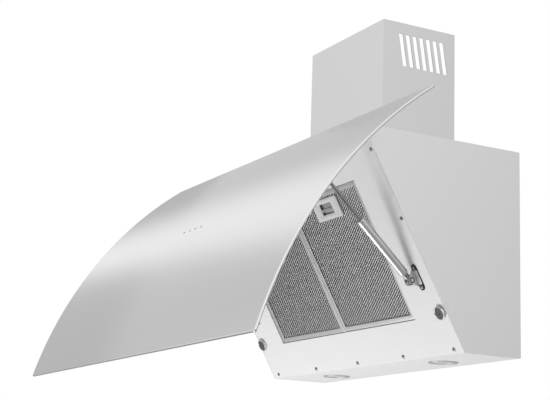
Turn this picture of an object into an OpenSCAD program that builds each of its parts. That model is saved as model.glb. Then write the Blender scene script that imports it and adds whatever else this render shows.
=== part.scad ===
// Wall mount range hood with a tilting curved panel.
// Millimetres. X is across the hood, Y points into the wall and Z is up.
// The wall is the plane Y = 0, and the origin is the centre of the four wall bolts.

/* [Housing] */
// Width of the housing over its side panels
body_w = 624; // [600:1:660]
// Height of the housing
body_h = 350; // [340:1:380]
// Depth of the housing at its top
top_depth = 316; // [305:1:330]
// Depth of the housing at its foot
bottom_depth = 115; // [105:1:125]
// Thickness of the sheet steel
sheet_t = 1.2; // [0.8:0.1:1.5]
// Width of the flange folded round the inside of each side panel
flange_w = 14; // [12:1:18]
// Distance between the wall bolts across the hood
bolt_span_x = 400; // [360:1:420]
// Distance between the wall bolts up the wall
bolt_span_z = 220; // [180:1:230]
// Radius of a wall bolt hole
bolt_hole_r = 4; // [3:0.5:5]

/* [Chimney] */
// Width of the chimney cover
chimney_w = 252; // [240:1:270]
// Depth of the chimney cover from the wall
chimney_d = 157; // [150:1:165]
// Height of the chimney cover above the housing
chimney_h = 265; // [250:1:400]
// Width of the flange at the foot of the chimney cover
chimney_flange = 15; // [13:1:18]
// Width of the flange folded at the front of the chimney cover's foot, which leaves room for a duct
chimney_front_flange = 9; // [7:1:9]
// Number of air slots in each side of the chimney
slot_count = 7; // [1:1:7]
// Width of an air slot
slot_w = 8.5; // [6:0.5:9]
// Height of an air slot
slot_h = 60; // [40:1:65]
// How far the foot of a slot lies behind its head
slot_lean = 10; // [0:1:14]
// Distance from one slot to the next
slot_pitch = 14.8; // [12:0.1:15]
// Height of the slots' feet above the housing
slot_rise = 184; // [175:1:185]
// Distance from the wall to the head of the rearmost slot
slot_back = 31; // [28:1:34]
// Height of the wall bracket above the housing
bracket_rise = 130; // [100:1:135]
// Height of the wall bracket's strip
bracket_h = 30; // [24:1:32]
// Distance between the bracket's two wall screws
bracket_span = 120; // [100:1:160]

/* [Curved panel] */
// Width of the curved panel
panel_w = 900; // [860:1:1000]
// Outer radius of the curved panel
panel_r = 777; // [740:1:820]
// Length of the panel along its curve
panel_len = 512; // [500:1:530]
// Length of the curve above the housing's front edge
panel_above_len = 55; // [50:1:60]
// Slope of the open panel at the housing's front edge
panel_slope = 39; // [38.5:0.1:39.5]
// Gap between the open panel and the housing's front edge
corner_gap = 2.9; // [2.7:0.1:4]
// Thickness of the panel's sheet
panel_t = 1.2; // [1:0.1:1.4]
// Width of the folded hem round the panel
hem_w = 10; // [8:1:14]
// Thickness of the folded hem
hem_t = 4; // [3:0.5:4.5]
// Angle by which the panel swings shut
panel_travel = 62; // [60:1:62]
// Number of touch marks
key_count = 4; // [1:1:6]
// Distance between touch marks
key_pitch = 22; // [14:1:24]
// Radius of a touch mark
key_r = 2; // [1:0.5:4]
// Place of the row of touch marks across the panel
key_row_x = -8; // [-20:1:20]
// Place of the touch marks down the curve from the panel's top edge
key_arc = 253; // [235:1:270]

/* [Panel hinges] */
// Distance of each hinge from the housing's side
hinge_inset = 62; // [57:1:77]
// Distance of the hinge pin behind the housing's front edge
hinge_back = 13.5; // [13:0.1:15]
// Depth of the hinge pin below the housing's top
hinge_drop = 9; // [8.5:0.1:10]
// Radius of the hinge pin
hinge_pin_r = 2.5; // [2:0.1:3]
// Radius of the hinge eye
hinge_eye_r = 5; // [4.5:0.1:5.3]
// Thickness of the hinge arm
arm_t = 3; // [2:0.5:4]
// Depth of the hinge arm where it runs along the panel
arm_depth = 8; // [7:0.5:9]
// Length of the hinge arm above the hinge
arm_up = 30; // [20:1:34]
// Length of the hinge arm below the hinge
arm_down = 60; // [40:1:64]

/* [Filters] */
// Width of the face beside the filter opening
opening_side_w = 89; // [87:1:102]
// Height of the filter opening up the face
opening_h = 254; // [240:1:260]
// Distance of the opening above the foot of the face
opening_s = 68; // [64:1:72]
// Thickness of a grease filter
filter_t = 9; // [8:0.5:10]
// Width of a filter's frame
frame_border = 8.5; // [7:0.5:10]
// Depth of a filter's front below the face
filter_recess = 1.5; // [1.2:0.1:2]
// Gap between the two filters
centre_gap = 2.6; // [2.4:0.1:4]
// Radius of a filter's hinge pin
filter_pin_r = 1.5; // [1.2:0.1:1.6]
// Gaps across one filter's net
net_columns = 11; // [6:1:12]
// Gaps up one filter's net
net_rows = 13; // [8:1:13]
// Width of a latch plate
latch_w = 78; // [70:1:84]
// Height of a latch plate
latch_h = 38; // [34:1:42]
// Distance from the top of the opening to the latch plate
latch_drop = 13; // [12:1:20]
// Width of the latch window
window_w = 36; // [30:1:44]
// Height of the latch window
window_h = 20; // [18:1:22]
// Travel of the latch slider
latch_travel = 5; // [4:0.5:6]

/* [Lamps] */
// Distance of a lamp from the housing's side
lamp_inset = 138; // [112:1:162]
// Distance of a lamp from the wall
lamp_y = 57; // [54:1:60]
// Radius of a lamp's trim ring
lamp_r = 25.5; // [24:0.5:28]
// Radius of a lamp's lens
lens_r = 20; // [18:0.5:20.5]
// Height of the lamp body inside the housing
lamp_can_h = 22; // [18:1:26]

/* [Gas struts] */
// Distance of a strut from the housing's side
strut_inset = 42; // [38:1:46]
// Place of the strut's foot up the face
strut_foot_s = 138; // [132:1:142]
// Height of the strut's lower pin above the face
strut_foot_out = 11; // [10.5:0.5:13]
// Place of the strut's upper end down the curve from the panel's top edge
strut_head_arc = 147; // [143:1:150]
// Distance of the strut's upper pin from the panel's inner face
strut_head_in = 16; // [14:0.5:18]
// Radius of the strut's tube
tube_r = 7.5; // [7:0.5:8]
// Length of the strut's tube
tube_len = 119; // [110:1:122]
// Radius of the strut's rod
rod_r = 3; // [2.5:0.5:4]
// Radius of the strut's pins
strut_pin_r = 3; // [2.5:0.5:3.5]

/* [Magnet catches] */
// Distance of a magnet catch from the housing's side
magnet_inset = 14; // [13:1:16]
// Place of a magnet catch up the face
magnet_s = 73; // [50:1:80]
// Radius of a magnet cup
cup_r = 11.5; // [10:0.5:12]
// Height of a magnet cup
cup_h = 5; // [4:0.5:6]
// Radius of the magnet
magnet_r = 9.5; // [8:0.5:9.5]
// Radius of a keeper post
post_r = 9; // [8:0.5:10]

/* [Blower] */
// Distance of the blower's axis from the wall
blower_y = 120; // [116:1:124]
// Height of the blower's axis
blower_z = 70; // [66:1:74]
// Width of the scroll housing
scroll_w = 120; // [114:1:126]
// Least radius of the scroll
scroll_r_min = 73; // [71:1:75]
// Greatest radius of the scroll
scroll_r_max = 98; // [94:1:100]
// Radius of the impeller
wheel_r = 65; // [60:1:66]
// Width of the impeller
wheel_w = 100; // [90:1:104]
// Number of impeller blades
blade_count = 28; // [16:1:36]
// Radius of the motor
motor_r = 38; // [34:1:42]
// Radius of the motor's shaft
shaft_r = 4; // [3:0.5:5]
// Radius of the round outlet collar
collar_r = 60; // [55:1:62]
// Height of the outlet collar above the housing
collar_h = 50; // [45:1:60]

/* [Hidden] */

$fn = 64;
curve_fn = 720;
// Overrun of every cut past the face that it opens
over = 1;
// Radial clearance of a pin that stays put and of one that turns
tight = 0.02;
running = 0.05;
// Gap between pieces that lie against each other but can part
seat_gap = 0.3;

// Housing, and what keeps its distance from the housing's sides
body_top = body_h / 2;
hinge_x = body_w / 2 - hinge_inset;
strut_x = body_w / 2 - strut_inset;
magnet_x = body_w / 2 - magnet_inset;
lamp_x = body_w / 2 - lamp_inset;
opening_w = body_w - 2 * opening_side_w;
inner_w = body_w - 2 * sheet_t;
lean = atan((top_depth - bottom_depth) / body_h);
face_len = body_h / cos(lean);
screw_r = 1.7;
screw_len = 8;
screw_head_r = 3.5;
screw_head_h = 1.8;
screw_taper = 0.8;
screw_edge = 8;
screw_spread_shares = [-1, -0.5, 0, 0.5, 1];
side_screw_shares = [0.59, 0.89];
screw_row_end = 22;
screw_row_half = body_w / 2 - screw_row_end;
lip_end_gap = 1;

// Chimney
cover_inner_w = chimney_w - 2 * sheet_t;
chimney_screw_inset = sheet_t + chimney_flange / 2;
chimney_screw_shares = [0.2, 0.82];
bracket_t = 2;
bracket_tab = 22;
bracket_w = cover_inner_w - 2 * seat_gap;
bracket_hole_r = 3;

// Outlet collar and damper
collar_y = -chimney_d / 2;
collar_t = 1.5;
collar_inner_r = collar_r - collar_t;
collar_hole_gap = 1;
collar_flange_t = 1.2;
collar_plate_rim = 6;
collar_plate_w = scroll_w + 2 * collar_plate_rim;
collar_plate_d = 2 * (collar_r + collar_plate_rim / 3);
damper_rise = 20;
damper_z = body_top + damper_rise;
damper_pin_r = 2;
knuckle_r = 3.5;
flap_t = 0.8;
flap_gap = 1;
flap_play = 2;
flap_reach = collar_inner_r - flap_play;
knuckle_gap = 0.5;
knuckle_inset = 4;
knuckle_len = (flap_reach - knuckle_inset) / 2;

// Curved panel, hung from the housing's front edge
corner = [-top_depth, body_top];
skin_r = panel_r - panel_t;
corner_angle = 90 + panel_slope;
panel_c = corner - (skin_r - corner_gap) * [cos(corner_angle), sin(corner_angle)];
degree_per_mm = 180 / (PI * panel_r);
panel_top_angle = corner_angle - panel_above_len * degree_per_mm;
hinge = corner + [hinge_back, -hinge_drop];
hinge_angle = atan2(hinge[1] - panel_c[1], hinge[0] - panel_c[0]);
weld_r = skin_r - seat_gap;
hinge_to_skin = skin_r - norm(hinge - panel_c);
arm_gap = 0.5;
cheek_t = 2;
bracket_base_t = 2;
bracket_base_w = 28;
bracket_len = 46;
notch_half = arm_t / 2 + arm_gap;
notch_r = norm(hinge - corner) + over;
rail_arc = 14;
rail_h = 20;
rail_depth = 9;
rail_end_gap = 12;
rail_half = hinge_x - rail_end_gap;
key_h = 0.3;
board_w = 120;
board_h = 36;
board_depth = 9;

// Filters, each hung on two pins near its foot
edge_gap = 0.8;
fit_gap = 0.2;
filter_w = (opening_w - 2 * edge_gap - centre_gap) / 2;
filter_h = opening_h - 2 * edge_gap;
filter_x = (centre_gap + filter_w) / 2;
filter_front = -filter_recess;
filter_back = filter_front - filter_t;
seat_depth = filter_recess + filter_t + seat_gap;
seat_lip = 5;
lip_start = 24;
pivot_up = 3.5;
pivot_in = 3.2;
post_w = 2;
post_h = 10;
pin_reach = 0.8;
frame_t = 1.5;
net_t = 1.2;
net_wire = 3.2;
net_relief = 0.8;
mesh_w = filter_w - 2 * frame_border;
mesh_h = filter_h - 2 * frame_border;
mesh_front = filter_front - frame_t;
mesh_back = filter_back + frame_t;
latch_s = opening_s + opening_h - latch_drop - latch_h / 2;
latch_proud = 0.8;
latch_wall = 1.2;
window_up = 0.5;
slider_t = 2;
slider_w = 24;
slider_in = 3.2;
grip_h = 5.5;
grip_side_gap = 1;

// Lamps
lamp_flange_t = 1.5;
lamp_spigot_r = lens_r + 2;
lens_t = 2;
lens_recess = 0.6;

// Struts
eye_r = 7;
eye_w = 8;
tube_start = 14;
tube_neck_r = eye_w / 2 - fit_gap;
tube_wall = 1.5;
tube_cap = 7;
piston_len = 8;
foot_plate_r = 6;
foot_plate_t = 2;
foot_screw_half = 17;
ear_t = 2;
foot_ear_half = 0.9 * foot_plate_r;
foot_ear_top = strut_foot_out + 0.4 * foot_plate_r;
foot_ear_x = strut_x + eye_w / 2 + seat_gap;
foot_base_x = foot_ear_x + foot_plate_r;
clip_r = 4.5;
clip_t = 1.5;
foot = [
    -bottom_depth - strut_foot_s * sin(lean) - strut_foot_out * cos(lean),
    -body_h / 2 + strut_foot_s * cos(lean) - strut_foot_out * sin(lean)
];
head_angle = panel_top_angle + strut_head_arc * degree_per_mm;
head = panel_c + (skin_r - strut_head_in) * [cos(head_angle), sin(head_angle)];
strut_angle = atan2(head[1] - foot[1], head[0] - foot[0]);
strut_len = norm(head - foot);
rod_spare = 8;
rod_len = strut_len - tube_start - tube_len + tube_cap + piston_len + rod_spare;
head_base_len = 36;
head_base_w = 16;
head_ear_len = 22;
head_ear_gap = 2;

// Magnet catches
cup_floor = 1.5;
magnet_sink = 0.4;
catch_point = on_face_point(magnet_s, cup_h + seat_gap);
post_foot = turned(catch_point, hinge, -panel_travel);
post_angle = 180 + lean - panel_travel;
post_reach = 80;

// Blower
scroll_t = 1.5;
scroll_top = body_top - sheet_t - collar_flange_t - blower_z;
scroll_start = 103;
scroll_steps = 36;
throat_share = 0.2;
inlet_r = 50;
ring_r = 60;
ring_t = 4;
blade_t = 1;
blade_angle = 35;
wheel_inner_r = 52;
wheel_plate_t = 3;
wheel_ring_t = 2;
hub_r = 12;
hub_len = 12;
motor_start = 12;
motor_end = scroll_w / 2 + ring_t;
mount_t = 2.5;
mount_arm_w = 14;
mount_disc_r = 30;
mount_arm_angles = [30, 150, 270];
mount_arm_start = 15;

// Control box and cable gland
box_w = 100;
box_h = 100;
box_d = 42;
box_wall = 2;
box_x = -180;
box_z = -40;
lid_t = 2;
lid_lip = 4;
gland_x = 92;
gland_y = -128;
gland_r = 8;
gland_flange_r = 11;
gland_flange_h = 5;
gland_dome_r = 9;
gland_h = 16;
gland_bore_r = 4;
gland_nut_h = 4;

steel = "gainsboro";
bright = "whitesmoke";
dark = "dimgray";

// A point in the YZ plane turned about a centre
function turned(p, c, a) = let (d = p - c)
    c + [d[0] * cos(a) - d[1] * sin(a), d[0] * sin(a) + d[1] * cos(a)];

// The point at a height up the slanted face and a distance out from it
function on_face_point(s, out) = [
    -bottom_depth - s * sin(lean) - out * cos(lean),
    -body_h / 2 + s * cos(lean) - out * sin(lean)
];

// Y of the slanted face at a height, moved inwards by a wall
function face_y(z, inset) = -bottom_depth - (z + body_h / 2) * tan(lean) + inset / cos(lean);

// The housing's side outline, drawn in by a wall on all four sides
function body_outline(inset) = let (low = inset - body_h / 2, high = body_h / 2 - inset) [
    [-inset, low], [face_y(low, inset), low], [face_y(high, inset), high], [-inset, high]
];

// An outline in the YZ plane, given a thickness along X
module along_x(x, w) {
    translate([x, 0, 0]) rotate([90, 0, 90]) linear_extrude(w) children();
}

// A round bar along X, centred on a point of the YZ plane
module rod_x(p, x, w, r) {
    translate([x, p[0], p[1]]) rotate([0, 90, 0]) cylinder(h = w, r = r);
}

// Local X is across, Y is up the slanted face and Z is out of it
module on_face() {
    translate([0, -bottom_depth, -body_h / 2]) rotate([90 + lean, 0, 0]) children();
}

// Local Z points from a point of the YZ plane along an angle
module towards(p, angle, x = 0) {
    translate([x, p[0], p[1]]) rotate([angle - 90, 0, 0]) children();
}

// Local Y points out of the curved panel's outer face and Z down its curve
module on_panel(arc, x = 0) {
    translate([x, panel_c[0], panel_c[1]])
        rotate([panel_top_angle + arc * degree_per_mm, 0, 0])
            translate([0, panel_r, 0]) children();
}

// A band that follows the curved panel, from one radius to another
module panel_band(r_in, r_out, x, w, arc_start, arc_len) {
    translate([0, panel_c[0], panel_c[1]]) rotate([90, 0, 90])
        rotate([0, 0, panel_top_angle + arc_start * degree_per_mm])
            rotate_extrude(angle = arc_len * degree_per_mm, $fn = curve_fn)
                translate([r_in, x]) square([r_out - r_in, w]);
}

// The mirror image of a right-hand piece
module left() {
    mirror([1, 0, 0]) children();
}

// A pan-head screw whose head sits on the plane Z = 0 and whose shank points down
module screw() {
    cylinder(h = screw_head_h, r1 = screw_head_r, r2 = screw_head_r * screw_taper);
    translate([0, 0, -screw_len]) cylinder(h = screw_len, r = screw_r);
}

module screw_hole() {
    translate([0, 0, -screw_len]) cylinder(h = 2 * screw_len, r = screw_r + running);
}

// Every screw place on the slanted face
module at_face_screws() {
    on_face() {
        for (share = screw_spread_shares)
            translate([share * screw_row_half, screw_edge, 0]) children();
        for (side = [-1, 1], share = side_screw_shares)
            translate([side * (inner_w - flange_w) / 2, share * face_len, 0]) children();
    }
}

// Every screw place on the feet of the struts
module at_foot_screws() {
    on_face() for (side = [-1, 1], s = [-1, 1])
        translate([side * foot_base_x, strut_foot_s + s * foot_screw_half, foot_plate_t]) children();
}

// Every screw place on the chimney's flange
module at_chimney_screws() {
    for (side = [-1, 1], share = chimney_screw_shares)
        translate([side * (chimney_w / 2 - chimney_screw_inset), -share * chimney_d, body_top])
            children();
}

module back_panel() {
    color(steel) difference() {
        translate([-inner_w / 2, -sheet_t, sheet_t - body_h / 2])
            cube([inner_w, sheet_t, body_h - 2 * sheet_t]);
        for (x = [-1, 1], z = [-1, 1])
            translate([x * bolt_span_x / 2, over, z * bolt_span_z / 2]) rotate([90, 0, 0])
                cylinder(h = sheet_t + 2 * over, r = bolt_hole_r);
    }
}

module right_side_panel() {
    color(bright) difference() {
        union() {
            along_x(inner_w / 2, sheet_t) polygon(body_outline(0));
            difference() {
                along_x(inner_w / 2 - flange_w, flange_w) polygon(body_outline(sheet_t));
                along_x(inner_w / 2 - flange_w - over, flange_w + over)
                    polygon(body_outline(2 * sheet_t));
            }
        }
        at_face_screws() screw_hole();
    }
}

module left_side_panel() {
    left() right_side_panel();
}

// The slot that a hinge arm swings in, through the top and the face
module hinge_notches() {
    for (side = [-1, 1])
        rod_x(hinge, side * hinge_x - notch_half, 2 * notch_half, notch_r);
}

module top_panel() {
    color(steel) difference() {
        along_x(-inner_w / 2, inner_w) polygon([
            [0, body_top - sheet_t], [0, body_top],
            [face_y(body_top, sheet_t), body_top],
            [face_y(body_top - sheet_t, sheet_t), body_top - sheet_t]
        ]);
        translate([0, collar_y, body_top - sheet_t - over])
            cylinder(h = sheet_t + 2 * over, r = collar_r + collar_hole_gap);
        translate([gland_x, gland_y, body_top - sheet_t - over])
            cylinder(h = sheet_t + 2 * over, r = gland_r + tight);
        at_chimney_screws() screw_hole();
        hinge_notches();
    }
}

module bottom_panel() {
    lip_w = inner_w - 2 * flange_w - 2 * lip_end_gap;
    color(steel) difference() {
        union() {
            along_x(-inner_w / 2, inner_w) polygon([
                [0, -body_h / 2], [0, sheet_t - body_h / 2],
                [face_y(sheet_t - body_h / 2, sheet_t), sheet_t - body_h / 2],
                [face_y(-body_h / 2, sheet_t), -body_h / 2]
            ]);
            on_face() translate([-lip_w / 2, 2 * sheet_t, -2 * sheet_t])
                cube([lip_w, flange_w, sheet_t]);
            along_x(-lip_w / 2, lip_w) polygon([
                [face_y(-body_h / 2, 3 * sheet_t), -body_h / 2],
                on_face_point(3 * sheet_t, -2 * sheet_t),
                on_face_point(3 * sheet_t, -sheet_t),
                [face_y(-body_h / 2, sheet_t), -body_h / 2]
            ]);
        }
        for (side = [-1, 1])
            translate([side * lamp_x, -lamp_y, -body_h / 2 - over])
                cylinder(h = sheet_t + 2 * over, r = lamp_spigot_r + tight);
        at_face_screws() screw_hole();
    }
}

// A filter's hinge axis, placed on the face
module at_filter_pivot() {
    on_face() translate([0, opening_s + pivot_up, -pivot_in]) children();
}

module filter_seat() {
    on_face() {
        translate([-opening_w / 2 - sheet_t, opening_s - sheet_t, -seat_depth])
            difference() {
                cube([opening_w + 2 * sheet_t, opening_h + 2 * sheet_t, seat_depth - sheet_t / 2]);
                translate([sheet_t, sheet_t, -over])
                    cube([opening_w, opening_h, seat_depth + 2 * over]);
            }
        translate([-opening_w / 2 - sheet_t, opening_s + lip_start, -seat_depth - sheet_t])
            difference() {
                cube([opening_w + 2 * sheet_t, opening_h - lip_start + sheet_t, sheet_t]);
                translate([sheet_t + seat_lip, -over, -over])
                    cube([
                        opening_w - 2 * seat_lip, opening_h - lip_start - seat_lip + over,
                        sheet_t + 2 * over
                    ]);
            }
        translate([-post_w / 2, opening_s - sheet_t / 2, -seat_depth])
            cube([post_w, post_h + sheet_t / 2, seat_depth - filter_recess]);
    }
}

module face_panel() {
    color(bright) difference() {
        union() {
            difference() {
                along_x(-inner_w / 2, inner_w) polygon([
                    [face_y(-body_h / 2, 0), -body_h / 2], [face_y(body_top, 0), body_top],
                    [face_y(body_top, sheet_t), body_top],
                    [face_y(-body_h / 2, sheet_t), -body_h / 2]
                ]);
                on_face() translate([-opening_w / 2, opening_s, -sheet_t - over])
                    cube([opening_w, opening_h, sheet_t + 2 * over]);
            }
            filter_seat();
        }
        at_face_screws() screw_hole();
        at_foot_screws() screw_hole();
        at_filter_pivot() translate([-opening_w / 2 - sheet_t - over, 0, 0]) rotate([0, 90, 0])
            cylinder(h = opening_w + 2 * sheet_t + 2 * over, r = filter_pin_r + running);
        hinge_notches();
    }
}

module face_screws() {
    color(dark) at_face_screws() screw();
}

module foot_screws() {
    color(steel) at_foot_screws() screw();
}

module chimney_slots() {
    foot_z = body_top + slot_rise;
    for (i = [0:slot_count - 1]) {
        head_y = -slot_back - i * slot_pitch;
        along_x(-chimney_w, 2 * chimney_w) polygon([
            [head_y - slot_w / 2, foot_z + slot_h], [head_y + slot_w / 2, foot_z + slot_h],
            [head_y + slot_lean + slot_w / 2, foot_z], [head_y + slot_lean - slot_w / 2, foot_z]
        ]);
    }
}

module chimney_cover() {
    color(bright) difference() {
        translate([-chimney_w / 2, -chimney_d, body_top]) cube([chimney_w, chimney_d, chimney_h]);
        translate([-cover_inner_w / 2, sheet_t - chimney_d, body_top + sheet_t])
            cube([cover_inner_w, chimney_d, chimney_h]);
        translate([
            chimney_flange - cover_inner_w / 2, sheet_t + chimney_front_flange - chimney_d,
            body_top - over
        ]) cube([cover_inner_w - 2 * chimney_flange, chimney_d, sheet_t + 2 * over]);
        chimney_slots();
        at_chimney_screws() screw_hole();
    }
}

module chimney_bracket() {
    color(steel) translate([-bracket_w / 2, 0, body_top + bracket_rise]) difference() {
        union() {
            translate([0, -bracket_t, 0]) cube([bracket_w, bracket_t, bracket_h]);
            for (x = [0, bracket_w - bracket_t])
                translate([x, -bracket_tab, 0]) cube([bracket_t, bracket_tab, bracket_h]);
        }
        for (side = [-1, 1])
            translate([(bracket_w + side * bracket_span) / 2, over, bracket_h / 2])
                rotate([90, 0, 0]) cylinder(h = bracket_t + 2 * over, r = bracket_hole_r);
    }
}

module chimney_screws() {
    color(dark) at_chimney_screws() translate([0, 0, -sheet_t]) rotate([180, 0, 0]) screw();
}

module outlet_collar() {
    color(steel) difference() {
        union() {
            translate([0, collar_y, body_top - sheet_t - collar_flange_t])
                cylinder(h = collar_h + sheet_t + collar_flange_t, r = collar_r);
            translate([
                -collar_plate_w / 2, collar_y - collar_plate_d / 2,
                body_top - sheet_t - collar_flange_t
            ]) cube([collar_plate_w, collar_plate_d, collar_flange_t]);
        }
        translate([0, collar_y, body_top - sheet_t - collar_flange_t - over])
            cylinder(h = collar_h + sheet_t + collar_flange_t + 2 * over, r = collar_inner_r);
        rod_x([collar_y, damper_z], -collar_r - over, 2 * (collar_r + over), damper_pin_r + tight);
    }
}

module damper_pin() {
    color(steel) rod_x([collar_y, damper_z], -collar_r, 2 * collar_r, damper_pin_r);
}

// One damper flap on the side of the wall, with two of the four knuckles
module damper_flap() {
    difference() {
        union() {
            intersection() {
                translate([0, collar_y, damper_z - flap_t / 2])
                    cylinder(h = flap_t, r = flap_reach);
                translate([-collar_r, collar_y + knuckle_r + flap_gap, body_top])
                    cube([2 * collar_r, collar_r, collar_h]);
            }
            for (i = [0, 2]) {
                start = i * knuckle_len - 2 * knuckle_len + knuckle_gap / 2;
                rod_x([collar_y, damper_z], start, knuckle_len - knuckle_gap, knuckle_r);
                translate([start, collar_y, damper_z - flap_t / 2])
                    cube([knuckle_len - knuckle_gap, 2 * knuckle_r + flap_gap, flap_t]);
            }
        }
        rod_x([collar_y, damper_z], -collar_r, 2 * collar_r, damper_pin_r + running);
    }
}

module damper_flap_rear() {
    color(steel) damper_flap();
}

module damper_flap_front() {
    color(steel) translate([0, 2 * collar_y, 0]) rotate([0, 0, 180]) damper_flap();
}

// The scroll's outline round the blower's axis: a spiral, then a straight throat
function scroll_outline(inset) = concat(
    [for (i = [0:scroll_steps]) let (
        a = scroll_start + (360 - scroll_start) * i / scroll_steps,
        r = scroll_r_min + (scroll_r_max - scroll_r_min) * i / scroll_steps - inset
    ) [r * cos(a), r * sin(a)]],
    [
        [scroll_r_max - inset, scroll_top],
        [scroll_r_min * cos(scroll_start) + inset * throat_share, scroll_top]
    ]
);

module blower_scroll() {
    color(steel) translate([0, -blower_y, blower_z]) difference() {
        along_x(-scroll_w / 2, scroll_w) polygon(scroll_outline(0));
        along_x(scroll_t - scroll_w / 2, scroll_w - 2 * scroll_t)
            polygon([for (p = scroll_outline(scroll_t)) p[1] == scroll_top ? p + [0, over] : p]);
        rod_x([0, 0], -scroll_w, 2 * scroll_w, inlet_r);
    }
}

module inlet_rings() {
    color(steel) for (side = [-1, 1]) difference() {
        rod_x([-blower_y, blower_z], side > 0 ? scroll_w / 2 : -motor_end, ring_t, ring_r);
        rod_x([-blower_y, blower_z], -scroll_w, 2 * scroll_w, inlet_r);
    }
}

module motor_mount() {
    color(steel) translate([motor_end, -blower_y, blower_z]) difference() {
        union() {
            rod_x([0, 0], 0, mount_t, mount_disc_r);
            for (a = mount_arm_angles)
                rotate([a, 0, 0]) translate([0, -mount_arm_w / 2, mount_arm_start])
                    cube([mount_t, mount_arm_w, ring_r - mount_arm_start]);
        }
        rod_x([0, 0], -over, mount_t + 2 * over, 2 * shaft_r);
    }
}

module motor() {
    color(dark) difference() {
        rod_x([-blower_y, blower_z], motor_start, motor_end - motor_start, motor_r);
        rod_x([-blower_y, blower_z], motor_start - over, scroll_w, shaft_r + running);
    }
}

module motor_shaft() {
    color(steel) rod_x([-blower_y, blower_z], -hub_len, motor_end + hub_len, shaft_r);
}

module impeller() {
    color(dark) translate([0, -blower_y, blower_z]) difference() {
        union() {
            rod_x([0, 0], -wheel_plate_t / 2, wheel_plate_t, wheel_r);
            rod_x([0, 0], -hub_len, hub_len, hub_r);
            for (side = [0, 1]) difference() {
                rod_x([0, 0], side * (wheel_w - wheel_ring_t) - wheel_w / 2, wheel_ring_t, wheel_r);
                rod_x([0, 0], -wheel_w, 2 * wheel_w, wheel_inner_r);
            }
            for (i = [0:blade_count - 1])
                rotate([i * 360 / blade_count, 0, 0]) translate([0, wheel_inner_r + blade_t, 0])
                    rotate([blade_angle, 0, 0]) translate([-wheel_w / 2, 0, -blade_t / 2])
                        cube([wheel_w, wheel_r - wheel_inner_r - 2 * blade_t, blade_t]);
        }
        rod_x([0, 0], -wheel_w, 2 * wheel_w, shaft_r + tight);
    }
}

module control_box() {
    color(dark) translate([box_x, -sheet_t - box_d, box_z]) difference() {
        cube([box_w, box_d, box_h]);
        translate([box_wall, -over, box_wall])
            cube([box_w - 2 * box_wall, box_d - box_wall + over, box_h - 2 * box_wall]);
    }
}

module control_box_lid() {
    color(steel) translate([box_x, -sheet_t - box_d - lid_t, box_z]) {
        cube([box_w, lid_t, box_h]);
        translate([box_wall + fit_gap, lid_t / 2, box_wall + fit_gap]) difference() {
            cube([box_w - 2 * box_wall - 2 * fit_gap, lid_lip, box_h - 2 * box_wall - 2 * fit_gap]);
            translate([lid_t, lid_t, lid_t]) cube([
                box_w - 2 * box_wall - 2 * fit_gap - 2 * lid_t, lid_lip,
                box_h - 2 * box_wall - 2 * fit_gap - 2 * lid_t
            ]);
        }
    }
}

module cable_gland() {
    color(dark) translate([gland_x, gland_y, body_top]) difference() {
        union() {
            cylinder(h = gland_flange_h, r = gland_flange_r, $fn = 6);
            cylinder(h = gland_h, r = gland_dome_r);
            translate([0, 0, -sheet_t - gland_nut_h]) {
                cylinder(h = gland_nut_h, r = gland_flange_r, $fn = 6);
                cylinder(h = sheet_t + gland_nut_h + over, r = gland_r);
            }
        }
        translate([0, 0, -gland_h]) cylinder(h = 3 * gland_h, r = gland_bore_r);
    }
}

module lamp_bezel() {
    color(steel) translate([lamp_x, -lamp_y, -body_h / 2]) difference() {
        union() {
            translate([0, 0, -lamp_flange_t]) cylinder(h = lamp_flange_t, r = lamp_r);
            cylinder(h = 2 * sheet_t, r = lamp_spigot_r);
        }
        translate([0, 0, -lamp_flange_t - over])
            cylinder(h = lamp_can_h, r = lens_r + tight);
    }
}

module lamp_lens() {
    color("white") translate([lamp_x, -lamp_y, lens_recess - lamp_flange_t - body_h / 2])
        cylinder(h = lens_t, r = lens_r);
}

module lamp_cans() {
    color(dark) for (side = [-1, 1])
        translate([side * lamp_x, -lamp_y, 2 * sheet_t - body_h / 2])
            cylinder(h = lamp_can_h, r = lamp_spigot_r);
}

module lamp_bezel_right() {
    lamp_bezel();
}

module lamp_bezel_left() {
    left() lamp_bezel();
}

module lamp_lens_right() {
    lamp_lens();
}

module lamp_lens_left() {
    left() lamp_lens();
}

// The slot in which the slider runs up through the filter's frame
module slider_way(clearance) {
    on_face() translate([
        filter_x - slider_w / 2 - clearance, latch_s - window_h / 2,
        filter_front - slider_in - slider_t - clearance
    ]) cube([slider_w + 2 * clearance, opening_h, slider_t + 2 * clearance]);
}

module filter_frame_right() {
    color("silver") {
        difference() {
            on_face() translate([filter_x - filter_w / 2, opening_s + edge_gap, filter_back])
                difference() {
                    cube([filter_w, filter_h, filter_t]);
                    translate([frame_border, frame_border, -over])
                        cube([mesh_w, mesh_h, filter_t + 2 * over]);
                    translate([frame_t, frame_t, frame_t])
                        cube([filter_w - 2 * frame_t, filter_h - 2 * frame_t, filter_t - 2 * frame_t]);
                }
            slider_way(seat_gap);
        }
        for (x = [filter_x - filter_w / 2 - pin_reach, filter_x + filter_w / 2 - frame_t])
            at_filter_pivot() translate([x, 0, 0]) rotate([0, 90, 0])
                cylinder(h = pin_reach + frame_t, r = filter_pin_r);
    }
}

module filter_frame_left() {
    left() filter_frame_right();
}

module diamond(w, h) {
    polygon([[-w / 2, 0], [0, -h / 2], [w / 2, 0], [0, h / 2]]);
}

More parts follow.
